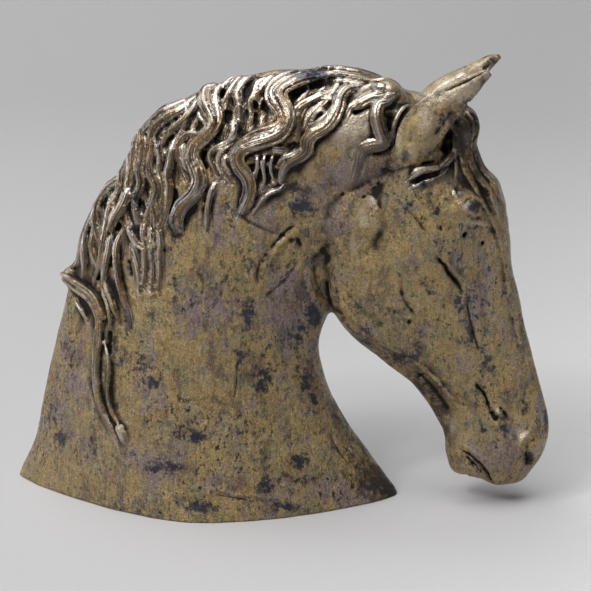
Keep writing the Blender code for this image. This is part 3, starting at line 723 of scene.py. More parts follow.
def strand_offset(bench, index, strands, overlap, twist):
    """How far a strand lies from its lock's middle line, sideways and outwards, and its thickness."""
    half_width = named(bench, "half_width", "FLOAT")
    gaps = bench.sum("SUBTRACT", strands, 1.0)
    reach = bench.sum("SUBTRACT", 1.0, overlap)
    parts = bench.sum("MULTIPLY_ADD", gaps, reach)
    parts.node.inputs[2].default_value = 1.0
    thickness = bench.sum("DIVIDE", half_width, parts)
    place = bench.sum("SUBTRACT", index, bench.sum("MULTIPLY", gaps, 0.5))
    pitch = bench.sum("MULTIPLY", bench.sum("MULTIPLY", thickness, 2.0), reach)
    length = bench.node("GeometryNodeSplineParameter").outputs["Length"]
    turns = bench.sum("ADD", bench.sum("MULTIPLY", length, 260.0), bench.sum("MULTIPLY", index, 2.3))
    wander = bench.sum("MULTIPLY", bench.sum("MULTIPLY", bench.sum("SINE", turns), twist), thickness)
    sideways = bench.sum("ADD", bench.sum("MULTIPLY", place, pitch), wander)
    lower = bench.sum("MULTIPLY", thickness, -0.3)
    drop = bench.sum("MULTIPLY", bench.sum("MULTIPLY", place, place), lower)
    weave = bench.sum("MULTIPLY", bench.sum("COSINE", turns), bench.sum("MULTIPLY", thickness, twist))
    return sideways, bench.sum("ADD", drop, weave), thickness


def coil_sizes(tree):
    """Gives the tree its named inputs and its output, and returns the inputs by name."""
    sizes = {}
    face = tree.interface
    face.new_socket("Guides", in_out="INPUT", socket_type="NodeSocketGeometry")
    for name, kind, value in (
        ("Coil Sides", "NodeSocketInt", 10),
        ("Overlap", "NodeSocketFloat", 0.1),
        ("Twist", "NodeSocketFloat", 0.08),
        ("Unevenness", "NodeSocketFloat", 0.1),
        ("Seed", "NodeSocketInt", 11),
        ("Glaze", "NodeSocketMaterial", None),
    ):
        sizes[name] = face.new_socket(name, in_out="INPUT", socket_type=kind)
        if value is not None:
            sizes[name].default_value = value
    face.new_socket("Coils", in_out="OUTPUT", socket_type="NodeSocketGeometry")
    return sizes


def rolled_up(bench, given, paths, thickness):
    """Round strands of clay rolled along the paths, each a little thicker or thinner by chance."""
    chance = bench.node("FunctionNodeRandomValue", data_type="FLOAT")
    bench.feed(chance.inputs[2], bench.sum("SUBTRACT", 1.0, given["Unevenness"]))
    bench.feed(chance.inputs[3], bench.sum("ADD", 1.0, given["Unevenness"]))
    bench.feed(chance.inputs["Seed"], given["Seed"])
    profile = bench.node("GeometryNodeCurvePrimitiveCircle")
    bench.feed(profile.inputs["Resolution"], given["Coil Sides"])
    profile.inputs["Radius"].default_value = 1.0
    rolled = bench.node("GeometryNodeCurveToMesh")
    bench.feed(rolled.inputs["Curve"], paths)
    bench.feed(rolled.inputs["Profile Curve"], profile.outputs["Curve"])
    bench.feed(rolled.inputs["Scale"], bench.sum("MULTIPLY", thickness, chance.outputs[1]))
    rolled.inputs["Fill Caps"].default_value = True
    return rolled.outputs["Mesh"]


def rolled_coils():
    """A tree that rolls each lock's strands of clay along its guide line."""
    tree = bpy.data.node_groups.new("rolled_coils", "GeometryNodeTree")
    sizes = coil_sizes(tree)
    bench = Bench(tree)
    given = bench.node("NodeGroupInput").outputs
    curves = bench.node("GeometryNodeMeshToCurve")
    bench.feed(curves.inputs["Mesh"], given["Guides"])
    strands = named(bench, "strands", "FLOAT")
    copies = bench.node("GeometryNodeDuplicateElements", domain="SPLINE")
    bench.feed(copies.inputs["Geometry"], curves.outputs["Curve"])
    bench.feed(copies.inputs["Amount"], bench.sum("ROUND", strands))
    index = copies.outputs["Duplicate Index"]
    sideways, outwards, thickness = strand_offset(bench, index, strands, given["Overlap"], given["Twist"])
    out = named(bench, "out", "FLOAT_VECTOR")
    tangent = bench.node("GeometryNodeInputTangent").outputs["Tangent"]
    across = bench.vector("NORMALIZE", bench.vector("CROSS_PRODUCT", tangent, out))
    shift = bench.vector(
        "ADD", bench.vector("SCALE", across, scale=sideways), bench.vector("SCALE", out, scale=outwards)
    )
    placed = bench.node("GeometryNodeSetPosition")
    bench.feed(placed.inputs["Geometry"], copies.outputs["Geometry"])
    bench.feed(placed.inputs["Offset"], shift)
    real = bench.node("GeometryNodeRealizeInstances")
    bench.feed(real.inputs["Geometry"], rolled_up(bench, given, placed.outputs["Geometry"], thickness))
    glazed = bench.node("GeometryNodeSetMaterial")
    bench.feed(glazed.inputs["Geometry"], real.outputs["Geometry"])
    bench.feed(glazed.inputs["Material"], given["Glaze"])
    bench.feed(bench.node("NodeGroupOutput").inputs["Coils"], glazed.outputs["Geometry"])
    return tree, sizes


def made_real(thing, name):
    """The object as its modifiers leave it, as a plain mesh under a new name."""
    graph = bpy.context.evaluated_depsgraph_get()
    mesh = bpy.data.meshes.new_from_object(thing.evaluated_get(graph))
    mesh.name = name
    bpy.data.objects.remove(thing)
    plain = bpy.data.objects.new(name, mesh)
    bpy.context.scene.collection.objects.link(plain)
    return plain


def rolled(name, lines, tree, sizes, glaze):
    """The coils that the tree rolls along these lines."""
    thing = guides(name, lines)
    roll = thing.modifiers.new("roll", "NODES")
    roll.node_group = tree
    roll[sizes["Glaze"].identifier] = glaze
    return made_real(thing, name)


def fused(name, things, grain, softening):
    """The shells fused into one skin and softened."""
    bpy.ops.object.select_all(action="DESELECT")
    for thing in things:
        thing.select_set(True)
    bpy.context.view_layer.objects.active = things[0]
    bpy.ops.object.join()
    clay = bpy.context.view_layer.objects.active
    remesh = clay.modifiers.new("fuse", "REMESH")
    remesh.mode = "VOXEL"
    remesh.voxel_size = grain * MM
    smooth = clay.modifiers.new("soften", "SMOOTH")
    smooth.factor = 0.5
    smooth.iterations = softening
    return made_real(clay, name)


def skin_of(thing):
    """The thing's surface, to lay paths on."""
    sculpt = bmesh.new()
    sculpt.from_mesh(thing.data)
    tree = BVHTree.FromBMesh(sculpt)
    sculpt.free()
    return tree


def read(mesh, what):
    """The places or the normals of the mesh's vertices."""
    values = np.empty(len(mesh.vertices) * 3)
    mesh.vertices.foreach_get(what, values)
    return values.reshape(-1, 3)


def stroked(thing, strokes):
    """Pushes the skin in, or out, round each stroke: points, half width and depth in metres."""
    mesh = thing.data
    spots = read(mesh, "co")
    normals = read(mesh, "normal")
    push = np.zeros(len(spots))
    for points, half_width, depth in strokes:
        line = np.array([tuple(point) for point in points])
        uneven = np.array([1 + 0.5 * noise.noise(point * 700) for point in points])
        reach = 3 * half_width
        near = np.all((spots > line.min(0) - reach) & (spots < line.max(0) + reach), axis=1)
        found = np.nonzero(near)[0]
        gaps = np.linalg.norm(spots[found, None, :] - line[None, :, :], axis=2)
        nearest = gaps.argmin(1)
        share = nearest / (len(line) - 1)
        fade = np.clip(5 * share, 0.2, 1) * np.clip(5 * (1 - share), 0.2, 1)
        push[found] -= depth * fade * np.exp(-((gaps.min(1) / (half_width * uneven[nearest])) ** 2))
    spots += normals * push[:, None]
    mesh.vertices.foreach_set("co", spots.ravel())
    mesh.update()


def strokes_on(skin, table, sides):
    """The strokes of a table, laid on the clay of these sides."""
    strokes = []
    for side in sides:
        for half_width, depth, path in table:
            points, _ = laid(skin, path, side, STROKE_STEP)
            strokes.append((points, half_width * MM, depth * MM))
    return strokes


def eyeball(skin, side):
    """A ball of clay set in the socket."""
    (x, z), radius, depth = EYEBALL
    points, normals = laid(skin, ((x - 0.2, z), (x + 0.2, z)), side, 0.2)
    sculpt = bmesh.new()
    place = Matrix.Translation(points[1] - normals[1] * (depth * MM))
    bmesh.ops.create_icosphere(sculpt, subdivisions=EYEBALL_DETAIL, radius=radius * MM, matrix=place)
    return shell("eyeball", sculpt)


def ear(side):
    """A leaf of clay curled round a hollow that opens forwards."""
    rows = zip(EAR_LINE, EAR_OUT, EAR_HALF_DEEP, EAR_HALF_WIDE)
    line = blended([(*point, out, deep, wide) for point, out, deep, wide in rows], PATH_STEPS)
    opening = math.radians(EAR_OPENING)
    turn = Matrix.Rotation(math.radians(side * EAR_TURN), 3, "Z")
    rings = []
    line[:, 0] += side * EAR_LEAN * np.linspace(0, 1, len(line)) ** 2
    for k, (x, z, out, deep, wide) in enumerate(line):
        before, after = line[max(0, k - 1)], line[min(len(line) - 1, k + 1)]
        along = Vector((after[0] - before[0], 0, after[1] - before[1])).normalized()
        forward = turn @ Vector((along.z, 0, -along.x))
        sideways = turn @ Vector((0, 1, 0))
        centre = Vector((x, side * out, z))
        wall = min(EAR_WALL, 0.55 * wide)
        angles = np.linspace(opening, 2 * math.pi - opening, 25)
        ring = [centre + forward * (deep * math.cos(a)) + sideways * (wide * math.sin(a)) for a in angles]
        for a in reversed(angles):
            inside = forward * ((deep - wall) * math.cos(a)) + sideways * ((wide - wall) * math.sin(a))
            ring.append(centre + inside)
        rings.append([point * MM for point in ring])
    return loft("ear", rings)


def hand_worked(thing):
    """The slight unevenness of a surface pressed and smoothed by hand."""
    mesh = thing.data
    spots = read(mesh, "co")
    normals = read(mesh, "normal")
    push = np.empty(len(spots))
    broad, broad_level, broad_upright = BROAD_UNEVENNESS
    small, small_level, small_upright = SMALL_UNEVENNESS
    for k, spot in enumerate(spots):
        x, y, z = spot * 1000
        swell = noise.noise((x / broad_level, y / broad_level, z / broad_upright))
        ripple = noise.noise((x / small_level + 7, y / small_level, z / small_upright))
        push[k] = broad * swell + small * ripple
    spots += normals * (push * MM)[:, None]
    mesh.vertices.foreach_set("co", spots.ravel())
    mesh.update()


def thinned(thing, triangles):
    """The skin with fewer triangles, the flat places losing most."""
    count = sum(len(face.vertices) - 2 for face in thing.data.polygons)
    thin = thing.modifiers.new("thin", "DECIMATE")
    thin.ratio = triangles / count
    return made_real(thing, thing.name)


def cut_flat(thing):
    """Cuts the foot off level with the table and closes it."""
    sculpt = bmesh.new()
    sculpt.from_mesh(thing.data)
    cut = bmesh.ops.bisect_plane(
        sculpt,
        geom=sculpt.verts[:] + sculpt.edges[:] + sculpt.faces[:],
        dist=1e-7,
        plane_co=(0, 0, 0),
        plane_no=(0, 0, -1),
        clear_outer=True,
    )
    rim = [item for item in cut["geom_cut"] if isinstance(item, bmesh.types.BMEdge)]
    bmesh.ops.holes_fill(sculpt, edges=rim, sides=0)
    bmesh.ops.triangulate(sculpt, faces=sculpt.faces)
    bmesh.ops.recalc_face_normals(sculpt, faces=sculpt.faces)
    sculpt.to_mesh(thing.data)
    sculpt.free()


def without_crumbs(thing):
    """Keeps the bust's own skin, and drops flat folds of it and specks that closed off inside it."""
    sculpt = bmesh.new()
    sculpt.from_mesh(thing.data)
    alike = {}
    for face in sculpt.faces:
        alike.setdefault(frozenset(face.verts), []).append(face)
    folds = [face for faces in alike.values() if len(faces) > 1 for face in faces]
    bmesh.ops.delete(sculpt, geom=folds, context="FACES")
    left = set(sculpt.verts)
    skins = []
    while left:
        reached = [left.pop()]
        for vertex in reached:
            beside = {edge.other_vert(vertex) for edge in vertex.link_edges} & left
            left -= beside
            reached.extend(beside)
        skins.append(reached)
    skins.sort(key=len)
    crumbs = [vertex for skin in skins[:-1] for vertex in skin]
    bmesh.ops.delete(sculpt, geom=crumbs, context="VERTS")
    sculpt.to_mesh(thing.data)
    sculpt.free()


def fitted(thing):
    """Moves the bust to the middle of the CAD box, and pulls in what would stand out of it."""
    spots = read(thing.data, "co")
    low, high = spots.min(0), spots.max(0)
    wanted_low, wanted_high = np.array(cad_low), np.array(cad_high)
    shift = (wanted_low + wanted_high - low - high) / 2
    shift[2] = 0.0
    spots = np.clip(spots + shift, wanted_low, wanted_high)
    thing.data.vertices.foreach_set("co", spots.ravel())
    thing.data.update()


def levelled(values, first, second, rounds):
    """Each vertex's value evened out with its neighbours' by so many rounds."""
    count = len(values)
    weight = np.bincount(first, minlength=count) + np.bincount(second, minlength=count)
    weight = np.maximum(weight, 1)[:, None]
    for _ in range(rounds):
        total = np.empty_like(values)
        for axis in range(values.shape[1]):
            column = values[:, axis]
            total[:, axis] = np.bincount(first, column[second], count)
            total[:, axis] += np.bincount(second, column[first], count)
        values = 0.4 * values + 0.6 * total / weight
    return values


def store(mesh, name, values):
    """Keeps one number for each vertex, for the glaze to read."""
    made = mesh.attributes.new(name, "FLOAT", "POINT")
    made.data.foreach_set("value", np.asarray(values, np.float32))


def mark_relief(thing):
    """Stores how far each point stands above its surroundings, near and wide, in millimetres."""
    mesh = thing.data
    spots, normals = read(mesh, "co"), read(mesh, "normal")
    ends = np.empty(len(mesh.edges) * 2, dtype=np.int64)
    mesh.edges.foreach_get("vertices", ends)
    first, second = ends[0::2], ends[1::2]
    near = levelled(spots, first, second, NEAR_ROUNDS)
    wide = levelled(near, first, second, WIDE_ROUNDS)
    close = np.einsum("ij,ij->i", spots - near, normals) * 1000
    store(mesh, "relief", levelled(close[:, None], first, second, 1)[:, 0])
    broad = np.einsum("ij,ij->i", spots - wide, levelled(normals, first, second, 30)) * 1000
    store(mesh, "swell", levelled(broad[:, None], first, second, 2)[:, 0])


def mark_mane(thing, groups, shift):
    """Stores how far each point belongs to the mane, and its place across and along the nearest lock."""
    places, ways, widths, runs, shares = [], [], [], [], []
    for line, share in [(line, share) for lines, share in groups for line in lines]:
        run = 0.0
        for k, (spot, out, width, _) in enumerate(line):
            before, after = line[max(0, k - 1)][0], line[min(len(line) - 1, k + 1)][0]
            ways.append((after - before).cross(out).normalized())
            run += 0 if k == 0 else (spot - line[k - 1][0]).length
            places.append(spot + shift)
            widths.append(width)
            runs.append(run)
            shares.append(share)
    tree = KDTree(len(places))
    for k, place in enumerate(places):
        tree.insert(place, k)
    tree.balance()
    mesh = thing.data
    belongs = np.zeros(len(mesh.vertices))
    across = np.zeros(len(mesh.vertices))
    along = np.zeros(len(mesh.vertices))
    for k, vertex in enumerate(mesh.vertices):
        _, found, gap = tree.find(vertex.co)
        inside = MANE_FADE - gap / (widths[found] + MANE_MARGIN * MM)
        belongs[k] = shares[found] * min(1.0, max(0.0, inside))
        across[k] = (vertex.co - places[found]).dot(ways[found]) * 1000
        along[k] = runs[found] * 1000
    store(mesh, "mane", belongs)
    store(mesh, "across", across)
    store(mesh, "along", along)


# Where the glaze pooled blue-black, read off the right side: (x, z), radii (x, z) and how strong.
BLUE_POOLS = (
    ((-54, 6.6), (12, 4.5), 0.8),
    ((-36, -12), (10, 3), 0.9),
    ((2, -9), (12, 2.5), 0.9),
    ((9, 14), (5, 4), 1.0),
    ((8, 4), (2.6, 2.6), 0.8),
    ((-38, 23), (5, 4), 1.0),
    ((-57, 47), (5, 3.5), 0.9),
    ((-61, 56), (4, 5), 0.7),
    ((-8, 48), (5, 8), 0.7),
    ((-13, 104), (3.5, 5), 0.6),
    ((8, 72), (5, 6), 0.6),
    ((15.4, 82), (3, 6), 1.4),
    ((52, 0), (6, 5), 1.2),
    ((100, 33), (3, 4), 0.8),
    ((90, 34), (2, 5), 0.8),
    ((108, 46), (2, 5), 0.6),
    ((-86, 14), (3, 5), 0.6),
    ((-100, 18), (4, 6), 0.7),
    ((49.4, 4), (6, 5), 1.0),
    ((10, 131), (7, 5), 0.9),
    ((6, 141), (2.5, 6), 0.8),
    ((-46, 116), (3, 8), 0.7),
    ((-62, 131), (2.6, 7), 0.7),
    ((-22, 128), (6, 6), 0.5),
    ((82, 93), (2.6, 6), 0.8),
    ((92, 62), (4, 6), 0.7),
    ((90, 70), (2.5, 4), 0.5),
    ((61, 67), (2.2, 6), 0.7),
    ((118, 38), (2, 7), 0.9),
    ((-95, 60), (4, 14), 0.5),
    ((-105, 30), (5, 12), 0.5),
    ((-68, 76), (2, 7), 0.7),
    ((57.5, 134), (3.4, 2.4), 0.8),
    ((67.7, 131), (1.4, 3.6), 0.8),
    ((88, 124), (5, 2), 0.5),
    ((96, 27), (3, 4), 0.4),
    ((54.5, 155.2), (2.4, 2.2), 1.0),
    ((90, 194), (3, 5), 0.9),
    ((83, 188), (5, 1.6), 0.7),
    ((80.9, 178.6), (1.8, 2.6), 1.3),
    ((68.9, 173.9), (2.2, 2.6), 0.7),
    ((69.5, 169), (1.6, 2.0), 0.8),
    ((71, 160), (1.6, 6), 0.9),
    ((14, 189), (9, 3), 1.1),
    ((1, 140), (4, 3), 0.8),
    ((-14, 82), (4, 9), 0.8),
    ((-17, 63), (4, 6), 0.7),
    ((-7, 52), (5, 7), 0.8),
    ((11, 53), (5, 9), 0.7),
    ((15.5, 42.6), (3, 8), 0.7),
    ((-5, 0), (8, 4), 0.7),
    ((10, 76), (3, 5), 0.7),
    ((34, 87), (2.4, 2.6), 0.8),
    ((49, 86), (5, 2), 0.7),
    ((64, 98), (2.6, 4), 0.6),
    ((55, 64.7), (7, 3), 0.8),
    ((39, 71), (3, 3), 0.8),
    ((84, 77), (2, 5), 0.8),
    ((78.5, 92), (2.2, 6), 0.9),
    ((49.5, 146.7), (5, 1.4), 0.6),
    ((62.4, 143), (2, 2), 1.0),
    ((-46, 92), (2.5, 9), 0.5),
    ((26, 84), (4, 8), 0.5),
    ((33, 70), (9, 5), 0.6),
    ((44, 62), (6, 3), 0.5),
    ((86, 187), (1.6, 5), 0.7),
    ((79.5, 178.5), (2.2, 4), 0.8),
    ((-14, 176), (14, 3.5), 0.4),
    ((27, 179), (8, 3.5), 0.4),
)

# Where it pooled in the eyes, the nostrils and the mouths, on both sides: the same.
FACE_POOLS = (
    ((83.6, 134.2), (2.7, 2.0), 2.0),
    ((111, 19), (1.8, 3.4), 1.0),
    ((87, 16.4), (4, 1.6), 0.6),
)

# Where it ran thin and burnt brown, and where shade is painted dark brown (the hollows beside the ear,
# under the jaw, the face's front, the foot's front end): the same.
BURNT_AND_SHADE_MARKS = (
    ((77, 164), (6, 12), 1.2),
    ((83, 171), (6, 9), 0.9),
    ((85, 154), (4, 11), 0.9),
    ((46, 6), (12, 9), 1.2),
    ((40, 16), (9, 14), 0.7),
    ((22, 118), (3, 9), 0.4),
    ((24, 84), (3, 10), 0.5),
    ((98, 38), (4, 5), 0.7),
    ((70, 21), (4, 6), 0.5),
    ((65, 51), (9, 4.5), 0.9),
    ((71, 42), (5, 7), 1.0),
    ((75, 32), (2.4, 7), 0.8),
    ((48, 166), (2.2, 10), 1.0),
    ((21, 100), (2, 12), 0.6),
    ((24, 62), (3, 16), 0.6),
    ((26, 39), (4, 12), 0.8),
    ((38, 22), (5, 9), 0.7),
    ((50, 8), (8, 9), 0.9),
    ((42, 16), (6, 8), 0.7),
    ((30, 32), (4, 12), 0.6),
    ((9, 139), (6, 2.5), 0.9),
    ((34, 159), (6, 3.5), 0.6),
    ((111, 19), (2.4, 3.6), 1.0),
    ((-16, 171), (1.6, 7), 0.8),
    ((-52, 152), (2, 8), 0.8),
    ((-74, 68), (2, 12), 0.8),
    ((-57, 108), (1.6, 8), 0.6),
    ((88, 158), (4, 12), 0.5),
    ((98, 130), (2.4, 22), 0.5),
    ((106, 85), (2, 26), 0.5),
    ((10, 5), (16, 5), 0.4),
)

# Where it came out lilac-grey: the same.
LILAC_PATCHES = (
    ((5, 84), (13, 18), 0.8),
    ((-34, 84), (16, 14), 0.7),
    ((-60, 28), (7, 26), 0.5),
    ((-92, 44), (9, 30), 0.6),
    ((-56, 8), (16, 10), 0.7),
    ((10, 0), (40, 8), 0.5),
    ((30, 146), (16, 9), 0.7),
    ((-22, 118), (16, 10), 0.7),
    ((30, 72), (16, 8), 0.5),
    ((90, 100), (9, 16), 0.5),
    ((96, 22), (12, 12), 0.8),
    ((80, 110), (8, 12), 0.4),
    ((-8, 128), (14, 12), 0.6),
    ((14, 136), (14, 9), 0.6),
    ((24, 122), (9, 8), 0.4),
)

# Where it came out even, with few specks: the same.
CLEAN_PATCHES = (
    ((44, 108), (13, 22), 1.0),
    ((60, 82), (12, 14), 0.5),
    ((-20, 60), (9, 22), 0.6),
    ((-75, 8), (14, 12), 0.7),
    ((-45, 62), (10, 16), 0.5),
    ((20, 112), (14, 10), 0.5),
    ((104, 44), (8, 16), 0.6),
    ((0, 28), (14, 10), 0.5),
)

# Where it shines, with its highlights painted pale cream: the same.
SHINE_AND_HIGHLIGHT_PATCHES = (
    ((30, 168), (9, 7), 1.0),
    ((37, 163), (5, 4), 0.8),
    ((51, 164), (1.6, 9), 0.7),
    ((66, 181), (8, 3), 0.8),
    ((78, 186.5), (7, 2.5), 0.7),
    ((48, 184), (7, 4), 0.5),
    ((61, 149), (5, 1.6), 1.0),
    ((36.4, 127), (1.5, 4), 0.9),
    ((32.5, 115), (1.3, 3), 0.7),
    ((75.6, 139.6), (2.0, 1.8), 1.2),
    ((40.7, 134.5), (1.6, 3), 1.2),
    ((72, 187), (5, 2.4), 1.0),
    ((57, 157), (2.4, 8), 0.5),
    ((86, 193.5), (4, 2.2), 0.8),
    ((74, 183), (9, 2.6), 0.9),
    ((62, 172), (3, 6), 0.6),
    ((79.5, 190), (5, 2.2), 1.0),
    ((63, 181.4), (6, 3), 0.9),
    ((108, 30.5), (1.8, 1.6), 1.0),
    ((80.2, 133.4), (1.0, 1.5), 1.2),
    ((87, 126.8), (5, 0.9), 0.7),
    ((77, 33), (1.5, 4), 0.8),
    ((-72, 24), (3, 6), 0.7),
    ((97, 41), (1.6, 1.4), 1.0),
)


def marks_at(seen, table):
    """How strongly the marks of a table show at each point (x, z) of the middle plane."""
    marked = np.zeros(len(seen))
    for (x, z), (wide, tall), strength in table:
        gap = ((seen[:, 0] - x) / wide) ** 2 + ((seen[:, 2] - z) / tall) ** 2
        marked = np.maximum(marked, strength * np.exp(-gap))
    return marked


def mark_glaze(thing, shift):
    """Stores the glaze's pools, burns, pale and shining places, painted shade and painted highlights, on
    the side seen.
    """
    mesh = thing.data
    spots = read(mesh, "co") - np.array(shift)
    crown = spots[:, 2] > CROWN_HEIGHT
    right = (spots[:, 1] < MARKS_REACH) | crown
    spots[:, 1] = np.where(crown, spots[:, 1], -np.abs(spots[:, 1]))
    eye = np.array(EYE) * MM
    way = spots - eye
    seen = (eye + way * (-eye[1] / way[:, 1])[:, None]) * 1000
    shared = marks_at(seen, FACE_POOLS)
    tables = {
        "pooled": BLUE_POOLS,
        "burnt_and_painted_shade": BURNT_AND_SHADE_MARKS,
        "lilac": LILAC_PATCHES,
        "clean": CLEAN_PATCHES,
        "shine_and_painted_highlight": SHINE_AND_HIGHLIGHT_PATCHES,
    }
    for name, table in tables.items():
        marked = np.where(right, marks_at(seen, table), 0.0)
        store(mesh, name, np.maximum(marked, shared) if name == "pooled" else marked)


def mark_painted_underside_shade(thing):
    """Stores how far each point faces away from the light above and behind, for painted shade on the coils.
    """
    normals = read(thing.data, "normal")
    store(thing.data, "painted_underside_shade", np.clip(0.2 - normals @ np.array((-0.45, 0.0, 0.89)), 0, 1))


def noise_layer(bench, place, size, detail=4.0, roughness=0.55, stretch=(1, 1, 1), turn=0.0):
    """A noise whose lumps are about so many millimetres across."""
    scaled = bench.node("ShaderNodeMapping")
    bench.feed(scaled.inputs["Vector"], place)
    scaled.inputs["Location"].default_value = (turn, turn * 0.7, -turn)
    scaled.inputs["Scale"].default_value = stretch
    made = bench.node("ShaderNodeTexNoise")
    bench.feed(made.inputs["Vector"], scaled.outputs["Vector"])
    made.inputs["Scale"].default_value = 1.0 / size
    made.inputs["Detail"].default_value = detail
    made.inputs["Roughness"].default_value = roughness
    return made.outputs["Fac"]


def spread(bench, value, low, high, start=0.0, end=1.0):
    """The value spread from start to end between two limits, and held outside them."""
    made = bench.node("ShaderNodeMapRange")
    made.clamp = True
    bench.feed(made.inputs["Value"], value)
    made.inputs["From Min"].default_value = low
    made.inputs["From Max"].default_value = high
    made.inputs["To Min"].default_value = start
    made.inputs["To Max"].default_value = end
    return made.outputs["Result"]


def tinted(bench, ground, colour, share):
    """The ground with a share of another colour over it."""
    made = bench.node("ShaderNodeMix", data_type="RGBA")
    bench.feed(made.inputs["Factor"], share)
    bench.feed(made.inputs["A"], ground)
    bench.feed(made.inputs["B"], colour)
    return made.outputs["Result"]


def stored(bench, name):
    """A number that the marking functions kept on the mesh."""
    made = bench.node("ShaderNodeAttribute", attribute_name=name, attribute_type="GEOMETRY")
    return made.outputs["Fac"]


# Colours of the glaze.
OLIVE_GOLD = (0.4, 0.285, 0.118, 1)
OLIVE_GREEN = (0.29, 0.25, 0.135, 1)
PALE_OLIVE = (0.47, 0.37, 0.21, 1)
GREY_BROWN = (0.16, 0.12, 0.085, 1)
LILAC_GREY = (0.27, 0.21, 0.215, 1)
BLUE_BLACK = (0.016, 0.02, 0.036, 1)
STEEL_BLUE = (0.085, 0.1, 0.13, 1)
# Iron brown is also painted as shade: on the coils' undersides, in sunk places and in the burns' shade
# marks.
IRON_BROWN = (0.03, 0.02, 0.013, 1)
RUST = (0.3, 0.15, 0.055, 1)
GOLD = (0.9, 0.66, 0.26, 1)
COIL_BROWN = (0.38, 0.255, 0.125, 1)
COIL_CREAM = (0.76, 0.7, 0.62, 1)
COIL_GREY = (0.2, 0.215, 0.25, 1)
# Pale cream, painted as highlights on the shining patches.
PAINTED_HIGHLIGHT_CREAM = (0.62, 0.54, 0.42, 1)
# Near black for the gaps and cuts: pooled glaze and painted shade.
HOLLOW_POOL_AND_SHADE = (0.008, 0.005, 0.004, 1)


def body_colour(bench, place):
    """The mottled olive ground with its patches, grain and flecks."""
    pale = noise_layer(bench, place, 9, 7, 0.65, turn=31)
    colour = tinted(bench, OLIVE_GOLD, PALE_OLIVE, spread(bench, pale, 0.5, 0.62, 0, 0.6))
    green = noise_layer(bench, place, 13, 7, 0.7, turn=17)
    colour = tinted(bench, colour, OLIVE_GREEN, spread(bench, green, 0.5, 0.58, 0, 0.8))
    rough = bench.sum("SUBTRACT", noise_layer(bench, place, 10, 9, 0.78, (1, 1, 0.6), 57), 0.5)
    lilac = bench.sum("MULTIPLY_ADD", rough, 5.0)
    bench.feed(lilac.node.inputs[2], stored(bench, "lilac"))
    colour = tinted(bench, colour, LILAC_GREY, spread(bench, lilac, 0.15, 0.65, 0, 0.85))
    brown = noise_layer(bench, place, 8, 8, 0.75, (1, 1, 0.6), 5)
    colour = tinted(bench, colour, GREY_BROWN, spread(bench, brown, 0.51, 0.6, 0, 0.85))
    rust = noise_layer(bench, place, 5, 6, 0.7, (1, 1, 0.7), 83)
    colour = tinted(bench, colour, RUST, spread(bench, rust, 0.57, 0.66, 0, 0.7))
    streak = noise_layer(bench, place, 1.6, 5, 0.75, (1, 1, 0.25), 27)
    colour = tinted(bench, colour, IRON_BROWN, spread(bench, streak, 0.5, 0.66, 0, 0.5))
    grain = noise_layer(bench, place, 0.8, 3, 0.7, turn=11)
    colour = tinted(bench, colour, IRON_BROWN, spread(bench, grain, 0.5, 0.68, 0, 0.5))
    fleck = noise_layer(bench, place, 0.8, 2, 0.6, turn=19)
    return tinted(bench, colour, GOLD, spread(bench, fleck, 0.58, 0.7, 0, 0.4))


def coil_colour(bench, combed):
    """Cream, rust and grey streaks that run along the coils."""
    broad = noise_layer(bench, combed, 2.2, 3, 0.55, (1, 0.12, 1), 7)
    colour = tinted(bench, COIL_BROWN, COIL_CREAM, spread(bench, broad, 0.47, 0.6, 0, 0.8))
    greyish = noise_layer(bench, combed, 2.4, 3, 0.55, (1, 0.1, 1), 47)
    colour = tinted(bench, colour, COIL_GREY, spread(bench, greyish, 0.51, 0.62, 0, 0.85))
    rusty = noise_layer(bench, combed, 2.0, 3, 0.55, (1, 0.1, 1), 29)
    colour = tinted(bench, colour, RUST, spread(bench, rusty, 0.54, 0.66, 0, 0.7))
    deep = noise_layer(bench, combed, 3.2, 3, 0.6, (1, 0.12, 1), 91)
    colour = tinted(bench, colour, IRON_BROWN, spread(bench, deep, 0.52, 0.66, 0, 0.65))
    dark = noise_layer(bench, combed, 0.8, 1, 0.5, (1, 0.03, 1), 67)
    return tinted(bench, colour, IRON_BROWN, spread(bench, dark, 0.48, 0.6, 0, 0.9))


def dark_marks(bench, place, mane, colour):
    """Blue and black specks, thicker in some places, the pools and burns of the tables, and the shade
    painted with the burns.
    """
    crowd = spread(bench, noise_layer(bench, place, 24, 4, 0.6, turn=143), 0.44, 0.56, 0.2, 1)
    free = bench.sum("MAXIMUM", mane, stored(bench, "clean"))
    crowd = bench.sum("MULTIPLY", crowd, bench.sum("SUBTRACT", 1.0, bench.sum("MULTIPLY", free, 0.85)))
    run = noise_layer(bench, place, 4.2, 6, 0.7, (1, 1, 0.5), 41)
    run = spread(bench, run, 0.57, 0.66, 0, 0.8)
    colour = tinted(bench, colour, STEEL_BLUE, bench.sum("MULTIPLY", run, crowd))
    speck = spread(bench, noise_layer(bench, place, 1.9, 4, 0.65, (1, 1, 0.7), 71), 0.57, 0.63, 0, 0.95)
    colour = tinted(bench, colour, BLUE_BLACK, bench.sum("MULTIPLY", speck, crowd))
    blot = spread(bench, noise_layer(bench, place, 5, 7, 0.72, (1, 1, 0.6), 101), 0.585, 0.64, 0, 0.95)
    colour = tinted(bench, colour, BLUE_BLACK, bench.sum("MULTIPLY", blot, crowd))
    edge = bench.sum("SUBTRACT", noise_layer(bench, place, 3, 7, 0.75, turn=61), 0.5)
    uneven = bench.sum("MULTIPLY", edge, 3.4)
    pooled = spread(bench, bench.sum("ADD", stored(bench, "pooled"), uneven), 0.3, 0.7, 0, 0.95)
    colour = tinted(bench, colour, BLUE_BLACK, pooled)
    # The burns also carry painted shade: dark brown in the hollows beside the ear, under the jaw, down the
    # face's front and at the foot's front end.
    burnt_and_painted_shade = spread(bench, bench.sum("ADD", stored(bench, "burnt_and_painted_shade"), uneven), 0.2, 0.85, 0, 0.92)
    return tinted(bench, colour, IRON_BROWN, burnt_and_painted_shade)


